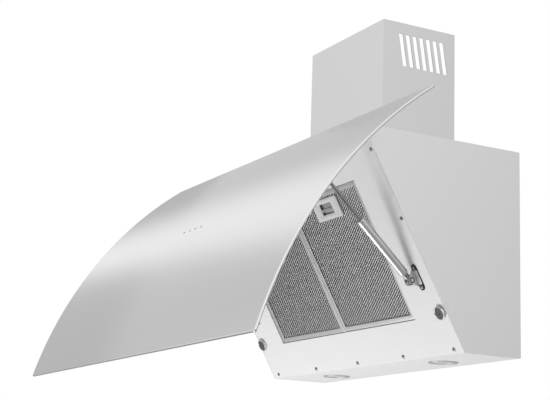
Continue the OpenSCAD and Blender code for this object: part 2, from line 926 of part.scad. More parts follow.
// The net lies in front of the packed layers, with a pocket for the latch
module filter_mesh_right() {
    column = mesh_w / net_columns;
    row = mesh_h / net_rows;
    pocket = latch_w + 2 * seat_gap;
    color("gray") on_face() difference() {
        union() {
            translate([
                filter_x - filter_w / 2 + frame_t + fit_gap,
                opening_s + edge_gap + frame_t + fit_gap, mesh_back + fit_gap
            ]) cube([
                filter_w - 2 * frame_t - 2 * fit_gap, filter_h - 2 * frame_t - 2 * fit_gap,
                mesh_front - mesh_back - net_t - 2 * fit_gap
            ]);
            translate([
                filter_x - mesh_w / 2, opening_s + edge_gap + frame_border,
                mesh_front - net_t - fit_gap
            ]) difference() {
                cube([mesh_w, mesh_h, net_t]);
                for (i = [0:net_columns - 1], j = [0:net_rows - 1])
                    translate([(i + 0.5) * column, (j + 0.5) * row, net_relief])
                        linear_extrude(net_t) diamond(column - net_wire, row - net_wire);
            }
        }
        translate([filter_x - pocket / 2, latch_s - latch_h / 2 - seat_gap, filter_back])
            cube([pocket, latch_h + 2 * seat_gap, filter_t + over]);
        translate([
            filter_x - slider_w / 2 - seat_gap, latch_s,
            filter_front - slider_in - slider_t - seat_gap
        ]) cube([slider_w + 2 * seat_gap, opening_h, filter_t]);
    }
}

module filter_mesh_left() {
    left() filter_mesh_right();
}

module latch_plate_right() {
    depth = filter_t + latch_proud - frame_t;
    color(bright) difference() {
        on_face() translate([filter_x, latch_s, filter_front + latch_proud - depth]) difference() {
            translate([-latch_w / 2, -latch_h / 2, 0]) cube([latch_w, latch_h, depth]);
            translate([latch_wall - latch_w / 2, latch_wall - latch_h / 2, -over]) cube([
                latch_w - 2 * latch_wall, latch_h - 2 * latch_wall, depth - latch_wall + over
            ]);
            translate([-window_w / 2, window_up - window_h / 2, 0])
                cube([window_w, window_h, depth + over]);
        }
        slider_way(seat_gap);
    }
}

module latch_plate_left() {
    left() latch_plate_right();
}

module latch_slider_right() {
    window_foot = latch_s + window_up - window_h / 2;
    grip_foot = window_foot + latch_travel + seat_gap;
    color("silver") on_face() {
        translate([
            filter_x - slider_w / 2, grip_foot, filter_front - slider_in - slider_t
        ]) cube([
            slider_w, opening_s + opening_h - edge_gap - seat_gap - grip_foot, slider_t
        ]);
        translate([
            filter_x - window_w / 2 + grip_side_gap, grip_foot, filter_front - slider_in - slider_t
        ]) cube([window_w - 2 * grip_side_gap, grip_h, slider_in + slider_t + latch_proud]);
    }
}

module latch_slider_left() {
    left() latch_slider_right();
}

module magnet_cup_right() {
    color("silver") on_face() translate([magnet_x, magnet_s, 0]) difference() {
        cylinder(h = cup_h, r = cup_r);
        translate([0, 0, cup_floor]) cylinder(h = cup_h, r = magnet_r + tight);
    }
}

module magnet_cup_left() {
    left() magnet_cup_right();
}

module magnet_discs() {
    color(dark) for (side = [-1, 1])
        on_face() translate([side * magnet_x, magnet_s, cup_floor])
            cylinder(h = cup_h - cup_floor - magnet_sink, r = magnet_r);
}

module keeper_posts() {
    color(steel) for (side = [-1, 1]) intersection() {
        towards(post_foot, post_angle, side * magnet_x) cylinder(h = post_reach, r = post_r);
        translate([side * magnet_x - post_r, 0, 0])
            rod_x(panel_c, 0, 2 * post_r, skin_r, $fn = curve_fn);
    }
}

module hinge_bracket_right() {
    roof = body_top - sheet_t;
    color(steel) difference() {
        union() {
            for (x = [hinge_x - notch_half - cheek_t, hinge_x + notch_half]) {
                rod_x(hinge, x, cheek_t, hinge_eye_r);
                along_x(x, cheek_t) polygon([
                    [hinge[0], hinge[1] - hinge_eye_r],
                    [hinge[0] + bracket_len, roof - bracket_base_t],
                    [hinge[0] + bracket_len, roof],
                    [hinge[0], roof]
                ]);
            }
            translate([hinge_x - bracket_base_w / 2, hinge[0] + notch_r, roof - bracket_base_t])
                cube([bracket_base_w, bracket_len - notch_r, bracket_base_t]);
        }
        rod_x(hinge, hinge_x - bracket_base_w, 2 * bracket_base_w, hinge_pin_r + tight);
    }
}

module hinge_bracket_left() {
    left() hinge_bracket_right();
}

module hinge_pins() {
    reach = notch_half + cheek_t + over;
    color(steel) for (side = [-1, 1])
        rod_x(hinge, side * hinge_x - reach, 2 * reach, hinge_pin_r);
}

module hinge_arm_right() {
    hinge_arc = (hinge_angle - panel_top_angle) / degree_per_mm;
    color(steel) difference() {
        union() {
            rod_x(hinge, hinge_x - arm_t / 2, arm_t, hinge_eye_r);
            towards(hinge, hinge_angle, hinge_x)
                translate([-arm_t / 2, -hinge_eye_r, 0])
                    cube([arm_t, 2 * hinge_eye_r, hinge_to_skin - arm_depth / 2]);
            panel_band(
                weld_r - arm_depth, weld_r, hinge_x - arm_t / 2, arm_t,
                hinge_arc - arm_up, arm_up + arm_down
            );
        }
        rod_x(hinge, hinge_x - arm_t, 2 * arm_t, hinge_pin_r + running);
    }
}

module hinge_arm_left() {
    left() hinge_arm_right();
}

module curved_panel() {
    color(bright) {
        panel_band(skin_r, panel_r, -panel_w / 2, panel_w, 0, panel_len);
        for (x = [-panel_w / 2, panel_w / 2 - hem_w])
            panel_band(panel_r - hem_t, panel_r, x, hem_w, 0, panel_len);
        for (arc = [0, panel_len - hem_w])
            panel_band(panel_r - hem_t, panel_r, -panel_w / 2, panel_w, arc, hem_w);
    }
}

module panel_rail() {
    color(steel) difference() {
        panel_band(weld_r - rail_depth, weld_r, -rail_half, 2 * rail_half, rail_arc, rail_h);
        panel_band(
            weld_r - rail_depth - over, weld_r - sheet_t, -rail_half - over,
            2 * rail_half + 2 * over, rail_arc + sheet_t, rail_h - 2 * sheet_t
        );
    }
}

module touch_marks() {
    color(dark) for (i = [0:key_count - 1])
        on_panel(key_arc, key_row_x + (i - (key_count - 1) / 2) * key_pitch)
            rotate([-90, 0, 0]) cylinder(h = key_h, r = key_r);
}

module touch_board_box() {
    sink = skin_r - sqrt(pow(skin_r, 2) - pow(board_h / 2, 2));
    color(dark) on_panel(key_arc, key_row_x)
        translate([-board_w / 2, -panel_t - sink - board_depth, -board_h / 2])
            cube([board_w, board_depth, board_h]);
}

module strut_foot_right() {
    color(dark) difference() {
        on_face() {
            translate([foot_ear_x, strut_foot_s - foot_screw_half, 0])
                cube([2 * foot_plate_r, 2 * foot_screw_half, foot_plate_t]);
            for (s = [-1, 1])
                translate([foot_base_x, strut_foot_s + s * foot_screw_half, 0])
                    cylinder(h = foot_plate_t, r = foot_plate_r);
            translate([foot_ear_x, strut_foot_s, strut_foot_out]) rotate([0, 90, 0])
                cylinder(h = ear_t, r = foot_plate_r);
            translate([foot_ear_x, 0, 0]) rotate([90, 0, 90]) linear_extrude(ear_t) polygon([
                [strut_foot_s - foot_screw_half, 0], [strut_foot_s + foot_screw_half, 0],
                [strut_foot_s + foot_ear_half, foot_ear_top], [strut_foot_s - foot_ear_half, foot_ear_top]
            ]);
        }
        rod_x(foot, strut_x, 2 * eye_w, strut_pin_r + tight);
        at_foot_screws() screw_hole();
    }
    color(steel) {
        rod_x(foot, strut_x - eye_w / 2 - seat_gap, eye_w + 2 * seat_gap + ear_t, strut_pin_r);
        rod_x(foot, strut_x - eye_w / 2 - seat_gap - clip_t, clip_t, clip_r);
    }
}

module strut_foot_left() {
    left() strut_foot_right();
}

module strut_tube_right() {
    color("silver") towards(foot, strut_angle, strut_x) difference() {
        union() {
            rod_x([0, 0], -eye_w / 2, eye_w, eye_r);
            cylinder(h = tube_start, r = tube_neck_r);
            translate([0, 0, tube_start]) cylinder(h = tube_len, r = tube_r);
        }
        rod_x([0, 0], -eye_w, 2 * eye_w, strut_pin_r + running);
        translate([0, 0, tube_start + tube_wall])
            cylinder(h = tube_len - tube_wall - tube_cap, r = tube_r - tube_wall);
        translate([0, 0, tube_start + tube_len - tube_cap - over])
            cylinder(h = tube_cap + 2 * over, r = rod_r + running);
    }
}

module strut_tube_left() {
    left() strut_tube_right();
}

module strut_rod_right() {
    stud_in = eye_w / 2 + clip_t;
    stud_out = eye_w / 2 + head_ear_gap - seat_gap;
    color(steel) towards(foot, strut_angle, strut_x) {
        difference() {
            union() {
                translate([0, 0, strut_len - rod_len]) cylinder(h = rod_len, r = rod_r);
                translate([0, 0, strut_len - rod_len])
                    cylinder(h = piston_len, r = tube_r - tube_wall - running);
                translate([0, 0, strut_len]) rod_x([0, 0], -eye_w / 2, eye_w, eye_r);
            }
            translate([0, 0, strut_len])
                rod_x([0, 0], -eye_w, 2 * eye_w, strut_pin_r + tight);
        }
        translate([0, 0, strut_len]) {
            rod_x([0, 0], -stud_in, stud_in + stud_out, strut_pin_r);
            rod_x([0, 0], -stud_in - clip_t, clip_t, clip_r);
        }
    }
}

module strut_rod_left() {
    left() strut_rod_right();
}

module strut_head_right() {
    ear_x = eye_w / 2 + head_ear_gap;
    sink = skin_r - sqrt(pow(skin_r, 2) - pow(head_base_len / 2, 2));
    seat = -panel_t - sink;
    color(dark) on_panel(strut_head_arc, strut_x) {
        translate([ear_x, seat - ear_t, -head_base_len / 2])
            cube([head_base_w, ear_t, head_base_len]);
        translate([ear_x, -panel_t - strut_head_in, -head_ear_len / 2])
            cube([ear_t, strut_head_in + panel_t + seat, head_ear_len]);
        rod_x([-panel_t - strut_head_in, 0], ear_x, ear_t, head_ear_len / 2);
    }
}

module strut_head_left() {
    left() strut_head_right();
}

back_panel();
left_side_panel();
right_side_panel();
top_panel();
bottom_panel();
face_panel();
face_screws();
foot_screws();
chimney_cover();
chimney_bracket();
chimney_screws();
outlet_collar();
damper_pin();
damper_flap_front();
damper_flap_rear();
blower_scroll();
inlet_rings();
motor_mount();
motor();
motor_shaft();
impeller();
control_box();
control_box_lid();
cable_gland();
lamp_bezel_left();
lamp_bezel_right();
lamp_lens_left();
lamp_lens_right();
lamp_cans();
filter_frame_left();
filter_frame_right();
filter_mesh_left();
filter_mesh_right();
latch_plate_left();
latch_plate_right();
latch_slider_left();
latch_slider_right();
magnet_cup_left();
magnet_cup_right();
magnet_discs();
keeper_posts();
hinge_bracket_left();
hinge_bracket_right();
hinge_pins();
hinge_arm_left();
hinge_arm_right();
curved_panel();
panel_rail();
touch_marks();
touch_board_box();
strut_foot_left();
strut_foot_right();
strut_tube_left();
strut_tube_right();
strut_rod_left();
strut_rod_right();
strut_head_left();
strut_head_right();
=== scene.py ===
"""Looks of the wall mount range hood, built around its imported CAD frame.

One frame is shared by everything: x runs along the wall, y towards the wall, z up.
Sizes are written in millimetres and become metres when an object is made.
"""

import logging
import math
from collections.abc import Callable, Sequence
from dataclasses import dataclass
from enum import Enum

import bmesh
import bpy
import numpy as np
from mathutils import Matrix, Vector


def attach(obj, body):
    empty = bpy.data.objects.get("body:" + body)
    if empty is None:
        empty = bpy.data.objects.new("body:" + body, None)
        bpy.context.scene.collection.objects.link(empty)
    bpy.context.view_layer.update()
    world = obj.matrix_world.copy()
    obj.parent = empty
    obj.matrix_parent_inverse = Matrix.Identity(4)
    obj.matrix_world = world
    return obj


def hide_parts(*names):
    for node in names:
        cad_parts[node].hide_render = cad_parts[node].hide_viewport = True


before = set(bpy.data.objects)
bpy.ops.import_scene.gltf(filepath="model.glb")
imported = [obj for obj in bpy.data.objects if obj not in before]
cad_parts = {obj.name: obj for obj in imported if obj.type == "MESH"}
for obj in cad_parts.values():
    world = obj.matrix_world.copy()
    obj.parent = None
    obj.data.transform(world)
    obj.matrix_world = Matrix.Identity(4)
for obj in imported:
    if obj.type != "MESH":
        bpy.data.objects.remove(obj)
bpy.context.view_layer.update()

LOG = logging.getLogger("hood")
MM = 0.001
# Edges flatter than this many degrees are shaded smooth.
SMOOTH_ANGLE = 35.0
# The radius, in millimetres, that stands for a turned shape's axis, so that its pole stays closed.
POLE = 0.02

Point2 = tuple[float, float]
Outline = Callable[[float], list[Point2]]


class Side(Enum):
    """The two mirrored sides of the hood."""

    LEFT = -1
    RIGHT = 1

    @property
    def word(self) -> str:
        """The side's name in lower case, as the CAD nodes use it."""
        return self.name.lower()


class Grain(Enum):
    """The way a sheet was brushed."""

    ALONG_X = (1.0, 0.0, 0.0)
    ALONG_Y = (0.0, 1.0, 0.0)
    ALONG_Z = (0.0, 0.0, 1.0)


class Ends(Enum):
    """How a loft of rings is closed."""

    CAPPED = "capped"
    WRAPPED = "wrapped"


@dataclass(frozen=True)
class HoodSizes:
    """The CAD's sizes that the looks are built to, in millimetres and degrees."""

    foot_y: float = -115.0
    foot_z: float = -175.0
    lean: float = 29.8681
    panel_width: float = 900.0
    panel_arc: float = 512.0
    panel_radius: float = 777.0
    panel_centre_y: float = 170.402
    panel_centre_z: float = -425.656
    panel_top_angle: float = 124.944
    sheet: float = 1.2
    strut_x: float = 270.0
    strut_angle: float = 137.63
    strut_foot_y: float = -193.264
    strut_foot_z: float = -60.8081
    strut_length: float = 244.85

    def on_face(self, x: float, up: float, out: float = 0.0) -> Matrix:
        """The place on the slanted face, whose local y runs up it and local z out of it.

        Args:
            x: Distance from the middle.
            up: Distance up the slope from the face's foot.
            out: Distance out of the face.

        Returns:
            The local frame's matrix in the part's frame.
        """
        base = Matrix.Translation((0, self.foot_y, self.foot_z))
        turn = Matrix.Rotation(math.radians(90 + self.lean), 4, "X")
        return base @ turn @ Matrix.Translation((x, up, out))

    def on_panel(self, arc: float, x: float) -> Matrix:
        """The place on the curved panel's outer face, with y outward and z down the curve.

        Args:
            arc: Distance along the curve from the panel's top edge.
            x: Distance from the middle.

        Returns:
            The local frame's matrix in the part's frame.
        """
        angle = math.radians(self.panel_top_angle) + arc / self.panel_radius
        base = Matrix.Translation((x, self.panel_centre_y, self.panel_centre_z))
        return base @ Matrix.Rotation(angle, 4, "X") @ Matrix.Translation((0, self.panel_radius, 0))

    def along_strut(self, side: Side, distance: float = 0.0) -> Matrix:
        """The place on a strut's axis, with z up the strut and x along its pins.

        Args:
            side: Which strut.
            distance: Distance up from the lower pin.

        Returns:
            The local frame's matrix in the part's frame.
        """
        base = Matrix.Translation((side.value * self.strut_x, self.strut_foot_y, self.strut_foot_z))
        turn = Matrix.Rotation(math.radians(self.strut_angle - 90), 4, "X")
        return base @ turn @ Matrix.Translation((0, 0, distance))


SIZES = HoodSizes()


def hex_rgb(code: str) -> tuple[float, float, float, float]:
    """Turns an sRGB hex code into linear colour.

    Args:
        code: Six hex digits, with or without a leading hash.

    Returns:
        Linear red, green, blue and an alpha of one.
    """
    digits = code.lstrip("#")
    parts = [int(digits[i : i + 2], 16) / 255 for i in (0, 2, 4)]
    linear = [c / 12.92 if c <= 0.04045 else ((c + 0.055) / 1.055) ** 2.4 for c in parts]
    return (linear[0], linear[1], linear[2], 1.0)


def add_node(
    tree: bpy.types.NodeTree,
    kind: str,
    inputs: dict[str | int, object] | None = None,
    settings: dict[str, object] | None = None,
) -> bpy.types.Node:
    """Adds a node, sets its own options, and fills or links its inputs.

    Args:
        tree: The tree that gets the node.
        kind: The node's type name.
        inputs: Values or output sockets, by input name or number.
        settings: The node's own options by name.

    Returns:
        The new node.
    """
    node = tree.nodes.new(kind)
    for key, value in (settings or {}).items():
        setattr(node, key, value)
    for key, value in (inputs or {}).items():
        socket = node.inputs[key]
        if isinstance(value, bpy.types.NodeSocket):
            tree.links.new(value, socket)
        else:
            socket.default_value = value
    return node


def rounded(width: float, height: float, radius: float, steps: int = 5, side_steps: int = 1) -> list[Point2]:
    """A rounded rectangle about the origin, from the foot's right end round to its left end.

    Args:
        width: Size along x.
        height: Size along y.
        radius: Corner radius.
        steps: Pieces per corner.
        side_steps: Pieces per upright side.

    Returns:
        The outline's points.
    """
    r = max(min(radius, width / 2, height / 2), 0.01)
    half: list[Point2] = []
    for corner_y, start in ((-height / 2 + r, -90.0), (height / 2 - r, 0.0)):
        for i in range(steps + 1):
            angle = math.radians(start + 90 * i / steps)
            half.append((width / 2 - r + r * math.cos(angle), corner_y + r * math.sin(angle)))
        if start < 0:
            low, high = -height / 2 + r, height / 2 - r
            half += [(width / 2, low + (high - low) * i / side_steps) for i in range(1, side_steps)]
    return half + [(-x, y) for x, y in reversed(half)]


def circle(radius: float, steps: int = 48) -> list[Point2]:
    """A circle about the origin, mirrored about the y axis.

    Args:
        radius: The circle's radius.
        steps: The number of points.

    Returns:
        The outline's points.
    """
    angles = [math.radians(-90 + (i + 0.5) * 360 / steps) for i in range(steps)]
    return [(radius * math.cos(a), radius * math.sin(a)) for a in angles]


def fillet(points: Sequence[Point2], radius: float, closed: bool = True, steps: int = 3) -> list[Point2]:
    """Rounds a polygon's corners.

    Args:
        points: The polygon's corners.
        radius: The rounding, which is cut down where an edge is short.
        closed: Whether the last corner joins the first.
        steps: Pieces per corner.

    Returns:
        The rounded polygon's points.
    """
    corners = [Vector(p) for p in points]
    count = len(corners)
    result: list[Point2] = []
    for i, here in enumerate(corners):
        if not closed and i in (0, count - 1):
            result.append((here.x, here.y))
            continue
        before, after = corners[i - 1] - here, corners[(i + 1) % count] - here
        reach = min(radius, before.length * 0.45, after.length * 0.45)
        start, end = here + before.normalized() * reach, here + after.normalized() * reach
        for k in range(steps + 1):
            t = k / steps
            spot = start * (1 - t) ** 2 + here * 2 * t * (1 - t) + end * t**2
            result.append((spot.x, spot.y))
    return result


def turn_outward(data: bpy.types.Mesh) -> None:
    """Turns every face of a mesh outward.

    Args:
        data: The mesh.
    """
    fair = bmesh.new()
    fair.from_mesh(data)
    bmesh.ops.recalc_face_normals(fair, faces=fair.faces)
    fair.to_mesh(data)
    fair.free()


class Shape:
    """A mesh under construction in its own local frame, in millimetres."""

    def __init__(self) -> None:
        """Starts with nothing in it."""
        self.verts: list[Vector] = []
        self.faces: list[tuple[int, ...]] = []

    def loft(self, rings: Sequence[Sequence[Vector]], ends: Ends = Ends.CAPPED) -> "Shape":
        """Joins closed rings of equal count one after another.

        Args:
            rings: The rings, each mirrored about its own middle so that its cap is a ladder of quads.
            ends: Whether the ends are capped or joined to each other.

        Returns:
            This shape.
        """
        start, count = len(self.verts), len(rings[0])
        for ring in rings:
            self.verts += ring
        total = len(rings)
        for k in range(total if ends is Ends.WRAPPED else total - 1):
            a, b = start + k * count, start + (k + 1) % total * count
            for i in range(count):
                j = (i + 1) % count
                self.faces.append((a + i, a + j, b + j, b + i))
        if ends is Ends.CAPPED:
            for base in (start, start + (total - 1) * count):
                for i in range(count // 2 - 1):
                    self.faces.append((base + i, base + i + 1, base + count - 2 - i, base + count - 1 - i))
        return self

    def around(
        self,
        outline: Outline,
        profile: Sequence[Point2],
        at: Matrix | None = None,
        ends: Ends = Ends.WRAPPED,
    ) -> "Shape":
        """Carries a profile of (inset, height) points round an outline.

        Args:
            outline: Gives the outline for an inset.
            profile: The cross section's points.
            at: The place of the outline's own frame.
            ends: Whether the profile is a closed loop or its ends are capped.

        Returns:
            This shape.
        """
        place = at or Matrix()
        rings = [[place @ Vector((x, y, height)) for x, y in outline(inset)] for inset, height in profile]
        return self.loft(rings, ends)

    def turned(
        self,
        profile: Sequence[Point2],
        at: Matrix | None = None,
        ends: Ends = Ends.CAPPED,
        steps: int = 48,
    ) -> "Shape":
        """Turns a profile of (radius, height) points about local z.

        Args:
            profile: The cross section's points.
            at: The place of the axis.
            ends: Whether the profile is a closed loop or its ends are capped.
            steps: Pieces round the axis.

        Returns:
            This shape.
        """
        return self.around(lambda inset: circle(max(inset, POLE), steps), profile, at, ends)

    def slab(
        self,
        width: float,
        height: float,
        corner: float,
        low: float,
        high: float,
        edge: float,
        at: Matrix | None = None,
    ) -> "Shape":
        """A rounded rectangular block with rounded edges.

        Args:
            width: Size along x.
            height: Size along y.
            corner: Corner radius seen from above.
            low: Lowest z.
            high: Highest z.
            edge: Rounding of the edges.
            at: The place of its own frame.

        Returns:
            This shape.
        """
        profile = fillet([(edge * 1.2, low), (0, low), (0, high), (edge * 1.2, high)], edge, closed=False)
        return self.around(lambda d: rounded(width - 2 * d, height - 2 * d, corner - d), profile, at, Ends.CAPPED)

    def prism(
        self,
        outline: Sequence[Point2],
        low: float,
        high: float,
        edge: float = 0.0,
        at: Matrix | None = None,
    ) -> "Shape":
        """A straight block over any outline, with cut edges.

        Args:
            outline: The outline's corners, anticlockwise.
            low: Lowest z.
            high: Highest z.
            edge: Width of the cut on its edges.
            at: The place of its own frame.

        Returns:
            This shape.
        """
        mesh = bmesh.new()
        base = [mesh.verts.new((x, y, low)) for x, y in outline]
        top = [mesh.verts.new((x, y, high)) for x, y in outline]
        mesh.faces.new(list(reversed(base)))
        mesh.faces.new(top)
        for i in range(len(base)):
            j = (i + 1) % len(base)
            mesh.faces.new((base[i], base[j], top[j], top[i]))
        if edge:
            sharp = [e for e in mesh.edges if e.calc_face_angle(0.0) > math.radians(40)]
            bmesh.ops.bevel(mesh, geom=sharp, offset=edge, segments=2, profile=0.5, affect="EDGES")
        place, start = at or Matrix(), len(self.verts)
        mesh.verts.index_update()
        self.verts += [place @ v.co for v in mesh.verts]
        self.faces += [tuple(start + v.index for v in f.verts) for f in mesh.faces]
        mesh.free()
        return self

    def mesh(self, name: str, at: Matrix | None = None, smooth: float = SMOOTH_ANGLE) -> bpy.types.Mesh:
        """Makes the mesh, in metres, with its faces outward.

        Args:
            name: The mesh's name.
            at: The place of the local frame in the part's frame.
            smooth: Edges under this angle in degrees are shaded smooth.

        Returns:
            The mesh.
        """
        place = Matrix.Scale(MM, 4) @ (at or Matrix())
        data = bpy.data.meshes.new(name)
        data.from_pydata([place @ v for v in self.verts], [], self.faces)
        turn_outward(data)
        data.polygons.foreach_set("use_smooth", [True] * len(data.polygons))
        data.set_sharp_from_angle(angle=math.radians(smooth))
        data.update()
        return data

    def object(self, name: str, at: Matrix | None = None, smooth: float = SMOOTH_ANGLE) -> bpy.types.Object:
        """Makes an object of the shape at the origin, with its place in its mesh.

        Args:
            name: The object's name.
            at: The place of the local frame in the part's frame.
            smooth: Edges under this angle in degrees are shaded smooth.

        Returns:
            The object.
        """
        made = bpy.data.objects.new(name, self.mesh(name, at, smooth))
        bpy.context.scene.collection.objects.link(made)
        return made


def settle(made: bpy.types.Object) -> bpy.types.Object:
    """Turns an object's modifiers into a plain mesh and removes them.

    Args:
        made: The object with its modifiers.

    Returns:
        The same object, with a plain mesh.
    """
    ready = made.evaluated_get(bpy.context.evaluated_depsgraph_get())
    made.data = bpy.data.meshes.new_from_object(ready)
    made.modifiers.clear()
    made.data.name = made.name
    return made


def cut(made: bpy.types.Object, cutter: Shape, at: Matrix | None = None) -> bpy.types.Object:
    """Cuts a shape out of an object.

    Args:
        made: The object that is cut.
        cutter: The shape that is taken away.
        at: The cutter's place.

    Returns:
        The cut object.
    """
    tool = cutter.object(made.name + "_cutter", at)
    step = made.modifiers.new("cut", "BOOLEAN")
    step.operation, step.object, step.solver = "DIFFERENCE", tool, "EXACT"
    settle(made)
    bpy.data.objects.remove(tool)
    made.data.set_sharp_from_angle(angle=math.radians(SMOOTH_ANGLE))
    return made


def place(
    made: bpy.types.Object,
    body: str,
    slot: str,
    stands_for: Sequence[str],
    finish: "Finish | None" = None,
) -> bpy.types.Object:
    """Gives a finished piece its material and body, and hides the CAD nodes that it stands for.

    Args:
        made: The finished piece.
        body: The CAD body that it rides on.
        slot: The record's material slot; not used.
        stands_for: The CAD nodes that it replaces.
        finish: The finish, unless the mesh already has one.

    Returns:
        The same object.
    """
    if finish is not None:
        made.data.materials.clear()
        made.data.materials.append(finish.material())
    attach(made, body)
    if stands_for:
        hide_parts(*stands_for)
    LOG.info("%s on %s, %d faces", made.name, body, len(made.data.polygons))
    return made


@dataclass(frozen=True)
class Finish:
    """A surface finish, drawn with shader nodes in object coordinates.

    Attributes:
        name: The material's name.
        colour: Its sRGB colour.
        roughness: Middle roughness.
        metallic: One for metal, nothing for paint and plastic.
        grain_size: Size in millimetres of the fine unevenness.
        unevenness: How far the roughness strays from its middle.
        bump: Height in millimetres of the unevenness.
    """

    name: str
    colour: str
    roughness: float
    metallic: float = 1.0
    grain_size: float = 0.6
    unevenness: float = 0.05
    bump: float = 0.01

    def material(self) -> bpy.types.Material:
        """Gives the finish's material, made once.

        Returns:
            The material.
        """
        made = bpy.data.materials.get(self.name)
        if made is None:
            made = bpy.data.materials.new(self.name)
            made.use_nodes = True
            made.node_tree.nodes.clear()
            self.draw(made.node_tree)
        return made

    def stretch(self) -> tuple[float, float, float]:
        """Scale of the pattern along each axis."""
        return (1 / (self.grain_size * MM),) * 3

    def pattern(self, tree: bpy.types.NodeTree) -> bpy.types.NodeSocket:
        """Draws the fine unevenness.

        Args:
            tree: The material's tree.

        Returns:
            Its value, from nothing to one.
        """
        where = add_node(tree, "ShaderNodeTexCoord").outputs["Object"]
        sized = add_node(tree, "ShaderNodeMapping", {"Vector": where, "Scale": self.stretch()})
        look = {"Vector": sized.outputs[0], "Scale": 1.0, "Detail": 3.0, "Roughness": 0.55}
        return add_node(tree, "ShaderNodeTexNoise", look).outputs[0]

    def base(self, tree: bpy.types.NodeTree, uneven: bpy.types.NodeSocket) -> dict[str | int, object]:
        """The surface's settings that this kind of finish adds.

        Args:
            tree: The material's tree.
            uneven: The unevenness.

        Returns:
            Inputs of the surface shader.
        """
        return {"Base Color": hex_rgb(self.colour)}

    def draw(self, tree: bpy.types.NodeTree) -> None:
        """Draws the finish.

        Args:
            tree: The material's empty tree.
        """
        uneven = self.pattern(tree)
        # The noise lies mostly between these two values, and is spread over the whole span of roughness.
        low, high = 0.3, 0.7
        least, most = self.roughness - self.unevenness, self.roughness + self.unevenness
        rough = add_node(tree, "ShaderNodeMapRange", {"Value": uneven, 1: low, 2: high, 3: least, 4: most})
        relief = add_node(tree, "ShaderNodeBump", {"Height": uneven, "Distance": self.bump * MM, "Strength": 0.5})
        inputs: dict[str | int, object] = {
            "Metallic": self.metallic,
            "Roughness": rough.outputs[0],
            "Normal": relief.outputs[0],
        }
        inputs |= self.base(tree, uneven)
        surface = add_node(tree, "ShaderNodeBsdfPrincipled", inputs)
        add_node(tree, "ShaderNodeOutputMaterial", {"Surface": surface.outputs[0]})


@dataclass(frozen=True)
class BrushedSteel(Finish):
    """Stainless sheet whose fine brushing stretches reflections across the grain.

    Attributes:
        grain: The way it was brushed.
        anisotropy: How far its reflections are stretched.
        streak: How many times longer than wide a brush mark is.
        dulling: The tone of a brush mark's dull part, as a share of the bright one.
        slant: How far the grain's line leans off its axis, so that it never lies along a face's normal.
    """

    grain: Grain = Grain.ALONG_X
    anisotropy: float = 0.7
    streak: float = 60.0
    dulling: float = 0.95
    slant: float = 0.012

    def stretch(self) -> tuple[float, float, float]:
        """Scale of the pattern: long along the grain, fine across it.

        Returns:
            The scale along each axis.
        """
        fine = 1 / (self.grain_size * MM)
        return tuple(fine / self.streak if g else fine for g in self.grain.value)

    def base(self, tree: bpy.types.NodeTree, uneven: bpy.types.NodeSocket) -> dict[str | int, object]:
        """Adds the grain's direction and its slight change of tone.

        Args:
            tree: The material's tree.
            uneven: The unevenness along the grain.

        Returns:
            Inputs of the surface shader.
        """
        facing = add_node(tree, "ShaderNodeNewGeometry").outputs["Normal"]
        line = tuple(g + self.slant * (i + 1) for i, g in enumerate(self.grain.value))
        across = add_node(tree, "ShaderNodeVectorMath", {0: line, 1: facing}, {"operation": "CROSS_PRODUCT"})
        bright = hex_rgb(self.colour)
        dull = tuple(c * self.dulling for c in bright[:3]) + (1.0,)
        tone = add_node(tree, "ShaderNodeMix", {0: uneven, 6: dull, 7: bright}, {"data_type": "RGBA"})
        return {"Base Color": tone.outputs[2], "Anisotropic": self.anisotropy, "Tangent": across.outputs[0]}


@dataclass(frozen=True)
class Coating(Finish):
    """Paint or moulded plastic: a clear sheen over a flat colour, with a faint orange peel.

    Attributes:
        ior: The coat's index of refraction.
        dulling: The tone of its duller spots, as a share of the colour.
    """

    metallic: float = 0.0
    grain_size: float = 1.2
    bump: float = 0.02
    ior: float = 1.5
    dulling: float = 0.97

    def base(self, tree: bpy.types.NodeTree, uneven: bpy.types.NodeSocket) -> dict[str | int, object]:
        """Adds the coat's colour, which strays a little.

        Args:
            tree: The material's tree.
            uneven: The unevenness.

        Returns:
            Inputs of the surface shader.
        """
        bright = hex_rgb(self.colour)
        dull = tuple(c * self.dulling for c in bright[:3]) + (1.0,)
        tone = add_node(tree, "ShaderNodeMix", {0: uneven, 6: dull, 7: bright}, {"data_type": "RGBA"})
        return {"Base Color": tone.outputs[2], "IOR": self.ior}


@dataclass(frozen=True)
class FrostedGlass(Finish):
    """Satin glass over a white diffuser, which reads as a soft light disc.

    Attributes:
        ior: The glass's index of refraction.
        milkiness: How much of the light enters the body.
        depth: How far it spreads in the body, in millimetres.
    """

    metallic: float = 0.0
    bump: float = 0.03
    ior: float = 1.52
    milkiness: float = 0.15
    depth: float = 2.0

    def base(self, tree: bpy.types.NodeTree, uneven: bpy.types.NodeSocket) -> dict[str | int, object]:
        """Adds a milky body under the glass's sheen.

        Args:
            tree: The material's tree.
            uneven: The unevenness.

        Returns:
            Inputs of the surface shader.
        """
        body = {"Subsurface Weight": self.milkiness, "Subsurface Scale": self.depth * MM}
        return {"Base Color": hex_rgb(self.colour), "IOR": self.ior, **body}


